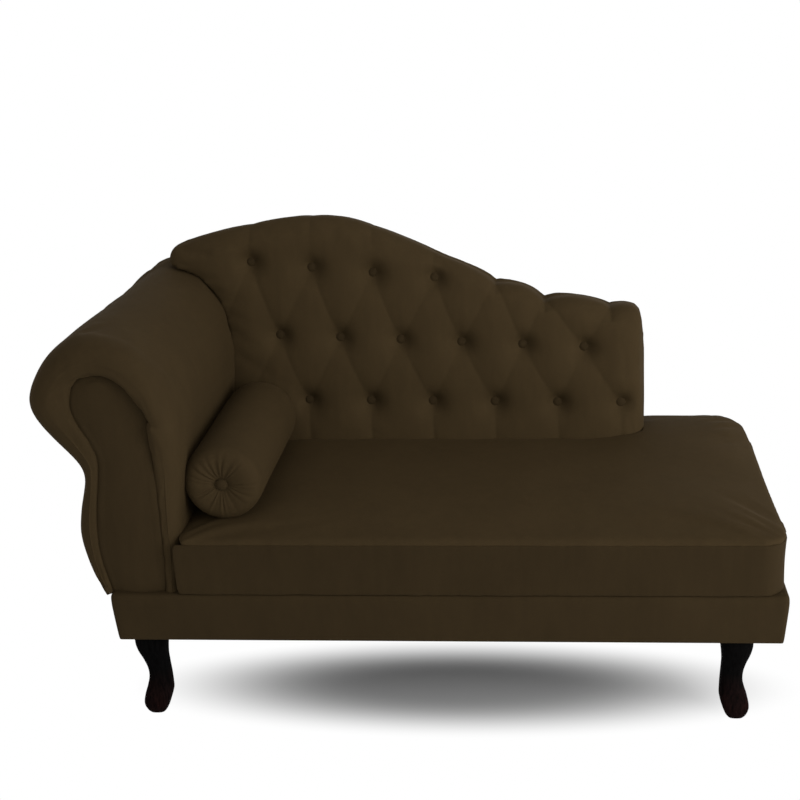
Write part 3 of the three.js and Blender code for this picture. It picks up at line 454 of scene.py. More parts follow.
def woven_material(name, colour, threads, raise_by):
    """Plain weave, as two crossing sets of threads."""
    shader = Shader(name)
    warp, weft = (
        shader.node("ShaderNodeTexWave", {"wave_type": "BANDS", "bands_direction": way}, {
            "Vector": shader.place(), "Scale": threads, "Distortion": 0.6})
        for way in ("X", "Y"))
    weave = warp * weft
    wear = shader.noise(shader.place(), 30, detail=4)
    shade = shader.mix(weave * 0.6 + wear * 0.4, rgba(colour, 0.6), rgba(colour, 1.35))
    return shader.finish({
        "Base Color": shade, "Roughness": 0.82 + 0.12 * wear,
        "Normal": shader.bump(weave, raise_by, 0.7)})


def zip_material():
    """Dark moulded zip teeth and tape."""
    shader = Shader("zip_nylon")
    tone = shader.noise(shader.place(), 900, detail=2)
    shade = shader.mix(tone, (0.012, 0.009, 0.006, 1), (0.03, 0.024, 0.016, 1))
    return shader.finish({
        "Base Color": shade, "Roughness": 0.4 + 0.25 * tone,
        "Normal": shader.bump(tone, 0.1 * MM, 0.4)})


# Lines and meshes

def distances(line):
    """Distance along a line to each of its points."""
    steps = np.linalg.norm(np.diff(line, axis=0), axis=1)
    return np.concatenate([[0], np.cumsum(steps)])


def unit(ways):
    """Directions brought to length 1."""
    return ways / np.linalg.norm(ways, axis=1, keepdims=True)


def to_right(ways):
    """Flat directions turned a quarter to the right."""
    return np.column_stack([ways[:, 1], -ways[:, 0]])


def quarter(x, y, radius, turn, steps):
    """Points on a quarter of a circle, from a turn in half circles."""
    return [
        (x + radius * math.cos(angle), y + radius * math.sin(angle))
        for angle in (np.linspace(0, 0.5, steps) + turn) * math.pi]


def from_segment(place, start, end):
    """Shares along a segment, and the offsets from it, of points in its plane."""
    along = end - start
    share = np.clip(((place - start) @ along) / (along @ along), 0, 1)
    return share, place - (start + share[:, None] * along)


def resample(line, count):
    """Points evenly spaced along a line."""
    along = distances(line)
    at = np.linspace(0, along[-1], count + 1)
    return np.column_stack([np.interp(at, along, column) for column in line.T])


def spline(points, count):
    """Evenly spaced points on a smooth line through the given ones."""
    points = np.asarray(points, float)
    padded = np.vstack([points[:1], points, points[-1:]])
    t = np.linspace(0, 1, 24, endpoint=False)[:, None]
    spans = []
    for i in range(len(points) - 1):
        a, b, c, d = padded[i:i + 4]
        u, v = (c - a) / 2, (d - b) / 2
        spans.append((2 * b - 2 * c + u + v) * t**3 + (3 * c - 3 * b - 2 * u - v) * t**2 + u * t + b)
    return resample(np.vstack([*spans, points[-1:]]), count)


def fit_shares(shares, count):
    """A smooth line that just fills its width and reaches its full height."""
    line = spline(shares, count)
    low, high = line[:, 0].min(), line[:, 0].max()
    return np.column_stack([(line[:, 0] - low) / (high - low), line[:, 1] / line[:, 1].max()])


def smoothstep(value, start, end):
    """An even rise from 0 at the start to 1 at the end."""
    share = np.clip((value - start) / (end - start), 0, 1)
    return share * share * (3 - 2 * share)


def new_object(name, data):
    """An object of the scene."""
    piece = bpy.data.objects.new(name, data)
    bpy.context.scene.collection.objects.link(piece)
    return piece


@contextmanager
def edited(data):
    """A mesh opened for editing, and written back."""
    work = bmesh.new()
    work.from_mesh(data)
    yield work
    work.to_mesh(data)
    work.free()


def mesh_piece(name, points, faces):
    """An object at the origin from points and faces, welded, closed and facing outwards."""
    data = bpy.data.meshes.new(name)
    data.from_pydata([tuple(p) for p in points], [], faces)
    with edited(data) as work:
        bmesh.ops.remove_doubles(work, verts=work.verts, dist=0.01 * MM)
        bmesh.ops.recalc_face_normals(work, faces=work.faces)
    return new_object(name, data)


def grid_faces(rows, columns, wrap=False):
    """Quads of a grid of points, row after row; wrap joins the last column to the first."""
    across = columns if wrap else columns - 1
    return [
        (r * columns + c, r * columns + (c + 1) % columns,
         (r + 1) * columns + (c + 1) % columns, (r + 1) * columns + c)
        for r in range(rows - 1) for c in range(across)
    ]


def loft(name, rings, caps=True):
    """A body skinned over closed rings with the same number of points."""
    rings = np.asarray(rings)
    count = rings.shape[1]
    faces = grid_faces(len(rings), count, wrap=True)
    if caps:
        last = (len(rings) - 1) * count
        faces += [tuple(range(count)), tuple(range(last, last + count))]
    return mesh_piece(name, rings.reshape(-1, 3), faces)


def read_points(data, what="co"):
    """One row for each point of a mesh: its place, or its normal."""
    found = np.empty(len(data.vertices) * 3)
    data.vertices.foreach_get(what, found)
    return found.reshape(-1, 3)


def coordinates(piece):
    return read_points(piece.data)


def vertex_normals(piece):
    return read_points(piece.data, "normal")


def move_points(piece, points):
    piece.data.vertices.foreach_set("co", np.asarray(points, float).ravel())
    piece.data.update()


def add_modifier(piece, kind, **settings):
    made = piece.modifiers.new(kind.lower(), kind)
    for name, value in settings.items():
        setattr(made, name, value)
    return made


def bake(piece):
    """The piece's modifiers are applied to a plain mesh."""
    evaluated = piece.evaluated_get(bpy.context.evaluated_depsgraph_get())
    data = bpy.data.meshes.new_from_object(evaluated)
    piece.modifiers.clear()
    old = piece.data
    piece.data = data
    data.name = piece.name
    bpy.data.meshes.remove(old)


def subdivide(piece):
    """Each face becomes four, rounded."""
    add_modifier(piece, "SUBSURF", levels=1, render_levels=1)
    bake(piece)


def carve(piece, *tools):
    """Solids are cut out of the piece and removed."""
    for tool in tools:
        add_modifier(piece, "BOOLEAN", operation="DIFFERENCE", solver="EXACT", object=tool)
        bake(piece)
        bpy.data.objects.remove(tool)


def remesh(piece, voxel, relax=4):
    """Even faces over a closed solid, eased so that no steps show."""
    add_modifier(piece, "REMESH", mode="VOXEL", voxel_size=voxel, use_smooth_shade=True)
    bake(piece)
    add_modifier(piece, "SMOOTH", factor=0.5, iterations=relax)
    bake(piece)


def thicken(piece, thickness):
    """A sheet becomes a closed shell, grown inwards."""
    add_modifier(piece, "SOLIDIFY", thickness=thickness, offset=-1)
    bake(piece)


def outward(piece, centre):
    """An open sheet's faces are turned to look away from a centre."""
    points, normals = coordinates(piece), vertex_normals(piece)
    if ((points - np.array(centre)) * normals).sum() < 0:
        piece.data.flip_normals()


def plain_under(piece, hidden):
    """The hidden flat side of a pad, or any opening, is closed by one large face."""
    with edited(piece.data) as work:
        faces = [f for f in work.faces if hidden(f.calc_center_median(), f.normal)]
        bmesh.ops.delete(work, geom=faces, context="FACES")
        edges = [e for e in work.edges if e.is_boundary]
        bmesh.ops.holes_fill(work, edges=edges, sides=0)
        bmesh.ops.recalc_face_normals(work, faces=work.faces)
        for edge in edges:
            if edge.is_valid:
                edge.smooth = False


def triangulate_ends(piece):
    """The large faces at the ends of a loft are cut into triangles."""
    with edited(piece.data) as work:
        bmesh.ops.triangulate(work, faces=[f for f in work.faces if len(f.verts) > 4])
    return piece


def inflate(piece, held, pressure, cap, growth=0.0):
    """The cover is blown up as cloth from its held points, and no point moves past the cap."""
    before = coordinates(piece)
    group = piece.vertex_groups.new(name="held")
    group.add([int(i) for i in np.flatnonzero(held)], 1.0, "REPLACE")
    cloth = add_modifier(piece, "CLOTH")
    for name, value in CLOTH.items():
        setattr(cloth.settings, name, value)
    cloth.settings.uniform_pressure_force = pressure
    cloth.settings.shrink_min = -growth
    cloth.settings.effector_weights.gravity = 0
    cloth.collision_settings.use_collision = False
    scene = bpy.context.scene
    for number in range(1, CLOTH_FRAMES + 1):
        scene.frame_set(number)
    evaluated = piece.evaluated_get(bpy.context.evaluated_depsgraph_get())
    move = read_points(evaluated.data) - before
    piece.modifiers.clear()
    piece.vertex_groups.clear()
    scene.frame_set(1)
    length = np.linalg.norm(move, axis=1, keepdims=True)
    eased = cap * np.tanh(length / cap) / np.maximum(length, 1e-9)
    move_points(piece, before + move * eased)


def wobble(points, size, seed=0.0):
    """Smooth noise from -1 to 1 at each point, with features of about the size given."""
    shift = Vector((seed, seed * 0.37, -seed))
    return np.array([noise.noise(Vector(p) / size + shift) for p in points])


def dress(piece, material, body=FRAME_BODY):
    """Finish, slot and body of a piece that is done."""
    piece.data.materials.clear()
    piece.data.materials.append(material)
    piece.data.polygons.foreach_set("material_index", [0] * len(piece.data.polygons))
    piece.data.polygons.foreach_set("use_smooth", [True] * len(piece.data.polygons))
    piece.data.update()
    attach(piece, body)
    return piece


# The arm

def arm_place(shares):
    """Places in the arm's section from shares of its width and of its height above the deck."""
    return np.column_stack([ARM_LOW.x + ARM_WIDTH * shares[:, 0], DECK + ARM_RISE * shares[:, 1]])


def arm_section(count=ARM_POINTS):
    """The arm's section from the foot of its outer side, over the roll, to its inner foot."""
    return arm_place(fit_shares(ARM_SHARES, count))


def inset_line(line, distance, foot=DECK):
    """A section moved inwards; it runs clockwise from foot to foot."""
    moved = line + distance * to_right(unit(np.gradient(line, axis=0)))
    moved[0] = line[0, 0] + distance, foot
    moved[-1] = line[-1, 0] - distance, foot
    return moved


def tapered(line, y, start):
    """The roll's outer half draws in towards the back of the piece."""
    share = np.clip((y - start) / (REAR - start), 0, 1)
    neck = DECK + ARM_RISE * NECK_SHARE
    high = smoothstep(line[:, 1], neck, neck + (ARM_HIGH.z - neck) / 2)
    out = np.maximum(ARM_MIDDLE - line[:, 0], 0) / (ARM_MIDDLE - ARM_LOW.x)
    return np.column_stack([line[:, 0] + ARM_TAPER * share * high * out, line[:, 1]])


def arm_tool(grow):
    """The arm's solid, grown, to cut its neighbours with."""
    over = 20 * MM
    line = inset_line(arm_section(64), -grow, DECK - over)
    return loft("arm_tool", [
        [(x, y, z) for x, z in line] for y in (FRONT - over, REAR + over)])


def arm_inner_side(z):
    """How far the arm's inner side reaches along the length at one or more heights."""
    line = arm_section()
    inner = line[line[:, 1].argmax():][::-1]
    return np.interp(z, inner[:, 1], inner[:, 0])


def landmarks(line):
    """Shares of a section's length at its feet, its neck, its outermost point and its top."""
    outermost = line[:, 0].argmin()
    neck = line[:outermost, 0].argmax()
    if neck == 0:
        # The foot stands out past the neck, which lies about half way up to the roll
        neck = outermost // 2 + 1
    along = distances(line)
    return along[[0, neck, outermost, line[:, 1].argmax(), -1]] / along[-1]


def matched_facing(section):
    """For each point of the arm's section, its partner on the facing's outline."""
    fine = arm_place(spline(FACING_SHARES, 400))
    fine_along, along = distances(fine), distances(section)
    at = np.interp(along / along[-1], landmarks(section), landmarks(fine))
    return np.column_stack([np.interp(at, fine_along / fine_along[-1], fine[:, k]) for k in (0, 1)])


def arm_rows(form):
    """Rows of the arm's cover, from under the facing's edge, over the lip and to the rear."""
    outer = arm_section()
    edge = matched_facing(outer)
    outer[[0, -1], 1] -= 2 * MM
    high = smoothstep(outer[:, 1], DECK + 0.5 * ARM_RISE, DECK + 0.8 * ARM_RISE)
    edge = edge - LIP_LAP * high[:, None] * unit(outer - edge)
    across = outer - edge
    width = np.linalg.norm(across, axis=1)
    way = across / width[:, None]
    fore = ARM_FRONT - form.lip_forward * high
    face = FACING_LOW.y + 1 * MM
    inner_round = np.minimum(26 * MM, 0.42 * width)
    outer_round = np.minimum(form.lip_round, 0.55 * width)
    rows = []

    def row(distance, y):
        place = edge + way * np.broadcast_to(distance, width.shape)[:, None]
        rows.append(np.column_stack([place[:, 0], np.broadcast_to(y, width.shape), place[:, 1]]))

    row(-6 * MM, FACING_HIGH.y)
    row(-2 * MM, face + 6 * MM)
    for step in np.linspace(0, math.pi / 2, 6):
        row(inner_round * (1 - math.cos(step)), face + (fore - face) * math.sin(step))
    for share in (0.25, 0.5, 0.75):
        swell = 1.5 * MM * math.sin(math.pi * share)
        row(inner_round + (width - inner_round - outer_round) * share, fore - swell)
    start = ARM_FRONT + form.lip_round
    for step in np.linspace(0, math.pi / 2, 6):
        row(width - outer_round * (1 - math.sin(step)), fore + (start - fore) * (1 - math.cos(step)))
    for y in np.linspace(start, REAR, 46)[1:]:
        line = tapered(outer, y, start)
        rows.append(np.column_stack([line[:, 0], np.full(len(line), y), line[:, 1]]))
    return np.array(rows)


def make_arm(form, finish):
    """The roll's cover with its outside panel and front lip, padded and creased."""
    rows = arm_rows(form)
    pad = mesh_piece("arm_pad", rows.reshape(-1, 3), grid_faces(*rows.shape[:2]))
    outward(pad, (ARM_MIDDLE, 0, DECK + ARM_RISE / 2))
    held = np.zeros(rows.shape[:2], bool)
    held[:2] = held[-1] = held[:, 0] = held[:, -1] = True
    inflate(pad, held.ravel(), pressure=3.0, cap=7 * MM, growth=0.012)
    subdivide(pad)
    crease_arm(pad)
    thicken(pad, PAD_WALL)
    dress(pad, velvet_material("arm", finish.velvet))
    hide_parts("arm_cover", "arm_foam", "arm_outside_cover")


def tuck_depth(points):
    """How deep the fold at the inner end of the lip is drawn in."""
    share, off = from_segment(points[:, [0, 2]], *arm_place(np.array(TUCK_SHARES)))
    above = np.where(off[:, 1] > 0, 2.6, 1.0)
    distance = np.linalg.norm(off, axis=1) / above
    front = 1 - smoothstep(points[:, 1], ARM_FRONT + 20 * MM, ARM_FRONT + 60 * MM)
    return np.exp(-distance / (5 * MM)) * (1 - 0.6 * share) * front


def crease_arm(pad):
    """Shallow drag lines along the roll, and puckers where the lip tucks behind the facing."""
    points, normals = coordinates(pad), vertex_normals(pad)
    stretched = points * np.array([1, 0.22, 1])
    drag = wobble(stretched, 34 * MM, 3.1) + 0.5 * wobble(stretched, 15 * MM, 8.2)
    behind = smoothstep(points[:, 1], ARM_FRONT + 20 * MM, ARM_FRONT + 80 * MM)
    pucker = wobble(points * np.array([1, 0.1, 1]), 17 * MM, 5.7)
    near = np.exp(-((points[:, 1] - ARM_FRONT - 2 * MM) / (14 * MM))**2)
    near *= smoothstep(points[:, 2], DECK + 0.35 * ARM_RISE, DECK + 0.6 * ARM_RISE)
    depth = 0.9 * MM * drag * behind + 1.2 * MM * pucker * near - 7 * MM * tuck_depth(points)
    move_points(pad, points + normals * depth[:, None])


def padded_panel(name, outline, face, way, thickness, edge, swell):
    """A crowned panel over an outline: it faces along Y in the way given, 1 or -1."""
    rings = []
    for inset, depth in ((0, 1), (0, 0.42), (0.15, 0.26), (0.45, 0.1), (0.9, 0.02), (1.5, 0)):
        line = inset_line(outline, inset * edge, outline[0, 1])
        rings.append([(x, face - way * depth * thickness, z) for x, z in line])
    start = inset_line(outline, 1.5 * edge, outline[0, 1])
    spine = np.column_stack([np.interp(start[:, 1], *spine_of(outline)), start[:, 1]])
    rows = 9
    for share in np.arange(1, rows) / rows:
        line = start + (spine - start) * share
        rings.append([(x, face + way * swell * (1 - (1 - share)**2), z) for x, z in line])
    panel = loft(name, rings)
    remesh(panel, PANEL_FACES, relax=3)
    return panel


def spine_of(outline):
    """Heights and middles across of an outline, low to high."""
    heights = np.linspace(outline[:, 1].min(), outline[:, 1].max(), 24)
    top = outline[:, 1].argmax()
    left = np.interp(heights, outline[: top + 1, 1], outline[: top + 1, 0])
    right = np.interp(heights, outline[top:, 1][::-1], outline[top:, 0][::-1])
    return heights, (left + right) / 2


def make_facings(form, finish):
    """The padded panel let into the front of the arm, and the plain one at its rear."""
    velvet = velvet_material("facing", finish.velvet)
    thickness = FACING_HIGH.y - FACING_LOW.y
    outline = arm_place(spline(FACING_SHARES, 120))
    outline = inset_line(outline, -3 * MM, outline[0, 1])
    front = padded_panel(
        "arm_facing_panel", outline, FACING_LOW.y, -1, thickness, 12 * MM, 4.5 * MM)
    line = tapered(
        inset_line(arm_section(), 5 * MM, DECK - 4 * MM), REAR, ARM_FRONT + form.lip_round)
    rear = padded_panel("arm_rear_panel", line, REAR - 2 * MM, 1, 6 * MM, 6 * MM, 2 * MM)
    for panel, node in ((front, "arm_front_facing"), (rear, "arm_rear_facing")):
        dress(panel, velvet)
        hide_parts(node)


# The seat

def rounded_rectangle(low, high, radii, spacing=12 * MM):
    """Points round a rectangle, anticlockwise: radii at its low end, then front and rear right."""
    left, front, rear = radii
    corners = (
        (high[0] - front, low[1] + front, front, -0.5), (high[0] - rear, high[1] - rear, rear, 0),
        (low[0] + left, high[1] - left, left, 0.5), (low[0] + left, low[1] + left, left, 1))
    line = []
    for corner in corners:
        line += quarter(*corner, 9)
    line = np.array(line + line[:1])
    count = round(2 * (high[0] - low[0] + high[1] - low[1]) / spacing)
    return resample(line, count)[:-1]


def seat_top_solid(form):
    """The padded top of the seat, from its seam up to the crown."""
    side = arm_inner_side(form.seat_edge)
    low, high = (side + 0.5 * MM, FRONT), (SEAT_HIGH.x + END_PAD, -FRONT)
    seam, edge = form.seat_seam, form.seat_edge
    rise = edge - seam
    levels = [
        (3 * MM, seam - 5 * MM), (1.2 * MM, seam - 3 * MM), (-0.3 * MM, seam + 0.2 * rise),
        (1 * MM, seam + 0.5 * rise)]
    for angle in np.linspace(0.2, 1, 5) * math.pi / 2:
        inset = 1 * MM + SEAT_ROUND * (1 - math.cos(angle))
        levels.append((inset, seam + rise * (0.5 + 0.5 * math.sin(angle))))
    span = (high[1] - low[1]) / 2 - SEAT_ROUND
    for share in (0.08, 0.2, 0.35, 0.5, 0.7, 0.92):
        levels.append((SEAT_ROUND + span * share, edge + form.seat_crown * (1 - (1 - share)**3)))
    rings = []
    for inset, z in levels:
        radii = [
            max(radius - inset, 6 * MM) for radius in (SEAT_ARM_CORNER, SEAT_CORNER, SEAT_REAR_CORNER)]
        line = rounded_rectangle(
            (low[0] + inset, low[1] + inset), (high[0] - inset, high[1] - inset), radii)
        rings.append((line, z))
    count = min(len(line) for line, _ in rings)
    return loft("seat_top_panel", [
        np.column_stack([resample(np.vstack([line, line[:1]]), count)[:-1], np.full(count, z)])
        for line, z in rings])


def back_front(z):
    """Front of the back at a height: it leans from the seat's edge to the top."""
    foot, top = BACK_FOOT_DEPTH, BACK_TOP_DEPTH
    share = (z - SEAT_EDGE) / (BACK_HIGH.z - SEAT_EDGE)
    return REAR - (foot + (top - foot) * share)


def back_room(grow):
    """The space that the back takes at the rear of the seat."""
    over = 30 * MM
    low, high = DECK - over, BACK_HIGH.z
    outline = [
        (back_front(low) - BACK_PUFF - grow, low), (back_front(high) - BACK_PUFF - grow, high),
        (REAR + over, high), (REAR + over, low)]
    sections = [(LEFT - 4 * over, 0)]
    for angle in np.linspace(0, math.pi / 2, 7):
        inset = BACK_ROUND * (1 - math.sin(angle))
        sections.append((BACK_RIGHT + grow - inset, BACK_ROUND * (1 - math.cos(angle))))
    return loft("back_room", [
        [(x, min(y + depth, REAR + over), z) for y, z in outline] for x, depth in sections])


def make_seat(form, finish):
    """The seat's crowned top panel and the plain border below it."""
    top = seat_top_solid(form)
    draw_in(top)
    remesh(top, COVER_FACES)
    points = coordinates(top)
    near_arm = points[:, 0] < arm_inner_side(form.seat_edge) + 3 * MM
    held = (points[:, 2] < form.seat_seam + 4 * MM) | near_arm
    inflate(top, held, pressure=2.5, cap=6 * MM)
    subdivide(top)
    pucker_seat(top, form)
    carve(top, back_room(-1 * MM), arm_tool(0.3 * MM))
    plain_under(top, lambda centre, normal: centre.z < form.seat_seam - 2 * MM and normal.z < -0.9)
    dress(top, velvet_material("seat", finish.velvet))
    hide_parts("seat_cover", "seat_foam")

    border = seat_border(form)
    dress(border, velvet_material("border", finish.velvet))
    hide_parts("seat_cover")


def draw_in(piece):
    """The seat's free end is a little shorter at the rear than at the front."""
    points = coordinates(piece)
    rearward = np.clip((points[:, 1] - FRONT) / (-2 * FRONT), 0, 1)
    points[:, 0] -= SEAT_TAPER * rearward * smoothstep(points[:, 0], 0, RIGHT)
    move_points(piece, points)


def pucker_seat(top, form):
    """Small puckers run up from the seam, and the crown has faint hollows."""
    points, normals = coordinates(top), vertex_normals(top)
    seam = np.exp(-np.maximum(points[:, 2] - form.seat_seam, 0) / (12 * MM))
    side = 1 - np.abs(normals[:, 2])
    ruffle = wobble(points * np.array([1, 1, 0.1]), 13 * MM, 2.3)
    hollow = wobble(points, 160 * MM, 6.1)
    depth = 1.0 * MM * ruffle * seam * side + 1.4 * MM * hollow * (1 - side)
    free = smoothstep(points[:, 0], BACK_RIGHT - 150 * MM, BACK_RIGHT + 40 * MM)
    free *= smoothstep(points[:, 1], -100 * MM, 200 * MM) * smoothstep(normals[:, 2], 0.1, 0.9)
    free *= 1 - 0.7 * smoothstep(points[:, 0], RIGHT - 70 * MM, RIGHT)
    move_points(top, points + normals * (depth + SEAT_PUFF * free)[:, None])


def open_path():
    """The seat's open sides in plan, from the arm round the free end to the back."""
    fore, aft = SEAT_CORNER + 6 * MM, SEAT_REAR_CORNER + 4 * MM
    start = arm_inner_side(DECK + 4 * MM) - 6 * MM
    inset = 1 * MM
    front, rear, end = FRONT + inset, -FRONT - inset, SEAT_HIGH.x + END_PAD - inset
    line = [
        (start, front), *quarter(end - fore, front + fore, fore, -0.5, 12),
        *quarter(end - aft, rear - aft, aft, 0, 12), (BACK_RIGHT + 3 * MM, rear),
        (BACK_RIGHT - 8 * MM, rear - 9 * MM)]
    path = resample(np.array(line), round(distances(line)[-1] / BORDER_STEP))
    return path, to_right(unit(np.gradient(path, axis=0)))


def seat_border(form):
    """The border band, drawn in a little between its two seams."""
    path, out = open_path()
    foot, head = DECK, form.seat_seam
    section = [(-15 * MM, foot), (-3.5 * MM, foot + 0.2 * MM), (-0.6 * MM, foot + 2 * MM)]
    for share in np.linspace(0.06, 0.94, 9):
        section.append((-2.2 * MM * math.sin(math.pi * share), foot + (head - foot) * share))
    section += [(0, head - 2.2 * MM), (-1.4 * MM, head - 0.4 * MM), (-15 * MM, head)]
    rings = []
    for (x, y), (nx, ny) in zip(path, out):
        rings.append([(x + nx * o, y + ny * o, z) for o, z in section])
    border = loft("seat_border_band", rings)
    draw_in(border)
    subdivide(border)
    points, normals = coordinates(border), vertex_normals(border)
    seam = np.exp(-(head - points[:, 2]) / (9 * MM)) + np.exp(-(points[:, 2] - foot) / (12 * MM))
    ruffle = wobble(points * np.array([1, 1, 0.12]), 14 * MM, 4.4)
    broad = wobble(points * np.array([1, 1, 0.6]), 60 * MM, 9.6)
    depth = 0.7 * MM * ruffle * seam + 0.7 * MM * broad
    move_points(border, points + normals * depth[:, None])
    return border


# The base

def make_rails(finish):
    """The padded rail covers, as one band round the base."""
    depth = 12 * MM
    draft = 7 * MM
    radius = 11 * MM
    line = rounded_rectangle(
        (LEFT - END_PAD, FRONT), (RIGHT + END_PAD, REAR), (radius, radius, radius), spacing=8 * MM)
    out = to_right(unit(np.roll(line, -1, axis=0) - np.roll(line, 1, axis=0)))
    rise = BASE_TOP - BASE_FOOT
    section = [(depth * (o - 1) - draft * d, BASE_FOOT + rise * u) for o, u, d in RAIL_SHARES]
    rings = [[(x + nx * o, y + ny * o, z) for o, z in section] for (x, y), (nx, ny) in zip(line, out)]
    rings.append(rings[0])
    band = loft("base_rail_band", rings, caps=False)
    subdivide(band)
    points, normals = coordinates(band), vertex_normals(band)
    head = np.exp(-(BASE_TOP - points[:, 2]) / (10 * MM))
    ruffle = wobble(points * np.array([1, 1, 0.12]), 16 * MM, 7.4)
    broad = wobble(points * np.array([1, 1, 0.7]), 70 * MM, 1.6)
    level = smoothstep(np.abs(normals[:, 2]), 0.3, 0.8)
    depth_out = (0.6 * MM * ruffle * head + 0.6 * MM * broad) * (1 - level)
    move_points(band, points + normals * depth_out[:, None])
    dress(band, velvet_material("rail", finish.velvet))
    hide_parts("front_rail_cover", "back_rail_cover", "left_rail_cover", "right_rail_cover")


def make_legs(finish):
    """Turned-out cabriole legs, smooth from the square shoulder to the small foot."""
    wood = leg_material(finish.leg)
    for name in LEG_NAMES:
        node = f"leg_{name}"
        low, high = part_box(node)
        side_x = 1 if "right" in name else -1
        side_y = 1 if "rear" in name else -1
        height = BASE_FOOT - 0.3 * MM
        axis_x = (low.x + high.x) / 2 - side_x * leg_centre_shift()
        axis_y = (low.y + high.y) / 2 - side_y * leg_centre_shift()
        rings = []
        for up, wide, reach in spline(LEG_SHARES, 44):
            half = LEG_WIDTH * wide / 2
            push = LEG_REACH * reach / math.sqrt(2)
            ring = []
            for step in range(LEG_SIDES):
                angle = (step + 0.5) / LEG_SIDES * 2 * math.pi
                c, s = math.cos(angle), math.sin(angle)
                ring.append((
                    axis_x + side_x * push + half * math.copysign(abs(c)**LEG_POWER, c),
                    axis_y + side_y * push + half * math.copysign(abs(s)**LEG_POWER, s),
                    max(0.0, up) * height))
            rings.append(ring)
        leg = loft(f"cabriole_{name}", rings)
        add_modifier(leg, "BEVEL", width=1.5 * MM, segments=2, limit_method="ANGLE", angle_limit=0.9)
        bake(leg)
        dress(leg, wood)
        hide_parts(node)


def leg_centre_shift():
    """How far the box of a leg lies off its axis: the foot reaches out past the shoulder."""
    half = LEG_WIDTH / 2
    push = LEG_REACH / math.sqrt(2)
    outs = [half * w + push * r for _, w, r in LEG_SHARES]
    ins = [half * w - push * r for _, w, r in LEG_SHARES]
    return (max(outs) - max(ins)) / 2


def make_lining(finish):
    """The lining cloth under the base, hanging slack between its edges."""
    low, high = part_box("dust_cover")
    columns, rows = 90, 44
    xs = np.linspace(low.x, high.x, columns)
    ys = np.linspace(low.y, high.y, rows)
    clear = 47 * MM
    spots = [(sum(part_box(f"leg_{n}"), Vector()) / 2).xy for n in LEG_NAMES]
    points, faces = [], []
    for y in ys:
        for x in xs:
            share = math.sin(math.pi * (x - low.x) / (high.x - low.x))
            share *= math.sin(math.pi * (y - low.y) / (high.y - low.y))
            ripple = noise.noise(Vector((x * 9, y * 9, 0.4)))
            points.append((x, y, high.z - 6 * MM * share**0.6 + 0.8 * MM * ripple * share))
    for face in grid_faces(rows, columns):
        middle = Vector(np.mean([points[i][:2] for i in face], axis=0))
        if all(max(abs(middle.x - s.x), abs(middle.y - s.y)) > clear for s in spots):
            faces.append(face)
    cloth = mesh_piece("base_lining", points, faces)
    thicken(cloth, 1 * MM)
    dress(cloth, woven_material("lining_weave", finish.lining, 900, 0.1 * MM))
    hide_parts("dust_cover")


# The tufted back

def back_outline(inset, foot):
    """Outline of the back, drawn in by an inset: its top edge, then its two feet."""
    line = fit_shares(BACK_TOP_SHARES, 90)
    low, wide = BACK_SHOULDER + inset, BACK_RIGHT - BACK_SHOULDER - 2 * inset
    top = np.column_stack([
        low + wide * line[:, 0], SEAT_EDGE + (BACK_HIGH.z - SEAT_EDGE) * line[:, 1] - inset])
    return np.vstack([top, [(BACK_RIGHT - inset, foot), (BACK_SHOULDER + inset, foot)]])


def back_mould():
    """The back's solid before it is tufted, with a rounded front edge."""
    rings = []
    for angle in np.linspace(0, math.pi / 2, 6):
        inset = BACK_ROUND * (1 - math.sin(angle))
        depth = BACK_ROUND * (1 - math.cos(angle)) - BACK_PUFF
        rings.append([(x, back_front(z) + depth, z) for x, z in back_outline(inset, DECK)])
    crest = [(x, back_front(z) + BACK_ROUND - BACK_PUFF, z) for x, z in back_outline(0, DECK)]
    for share in (0.25, 0.5, 0.75, 1.0):
        ring = [
            (x, y + (REAR - 4 * MM - y) * share, z - BACK_FALL * share**2) for x, y, z in crest[:-2]]
        rings.append([*ring, *((x, REAR - 4 * MM, z) for x, _, z in crest[-2:])])
    return triangulate_ends(loft("tufted_back", rings))


def edge_height(x):
    """Height of the back's top edge at a place along the length."""
    top = back_outline(0, DECK)[:-2]
    return float(np.interp(x, top[:, 0], top[:, 1]))


def notch_places():
    """Where the notches lie along the length."""
    return [BACK_SHOULDER + (BACK_RIGHT - BACK_SHOULDER) * share for share, _ in TOP_NOTCHES]


def pleat_lines():
    """Pleats of the back as pairs of ends in its face, with how deep each runs."""
    top, middle, low = ([np.array((p.x, p.z)) for p in row] for row in (TOP_ROW, MIDDLE_ROW, LOW_ROW))
    pitch = middle[1] - middle[0]
    upper = top + [np.array((x, edge_height(x))) for x in notch_places()]
    pleats = []

    def link(a, b, depth=1.0):
        pleats.append((a, b, depth))

    for k, spot in enumerate(middle):
        link(spot, low[k], 0.75)
        if k + 1 < len(low):
            link(middle[k + 1], low[k], 0.55)
    link(middle[0], low[0] - pitch, 0.5)
    for k, spot in enumerate(middle):
        link(spot, upper[k], 0.9)
        link(spot, upper[k + 1], 0.6)
    for spot in low:
        link(spot, np.array((spot[0] + 4 * MM, SEAT_EDGE - 20 * MM)), 1.0)
    for spot in top:
        link(spot, spot + np.array((0, 200 * MM)), 0.45)
    link(top[0], middle[0] - pitch, 0.5)
    return pleats


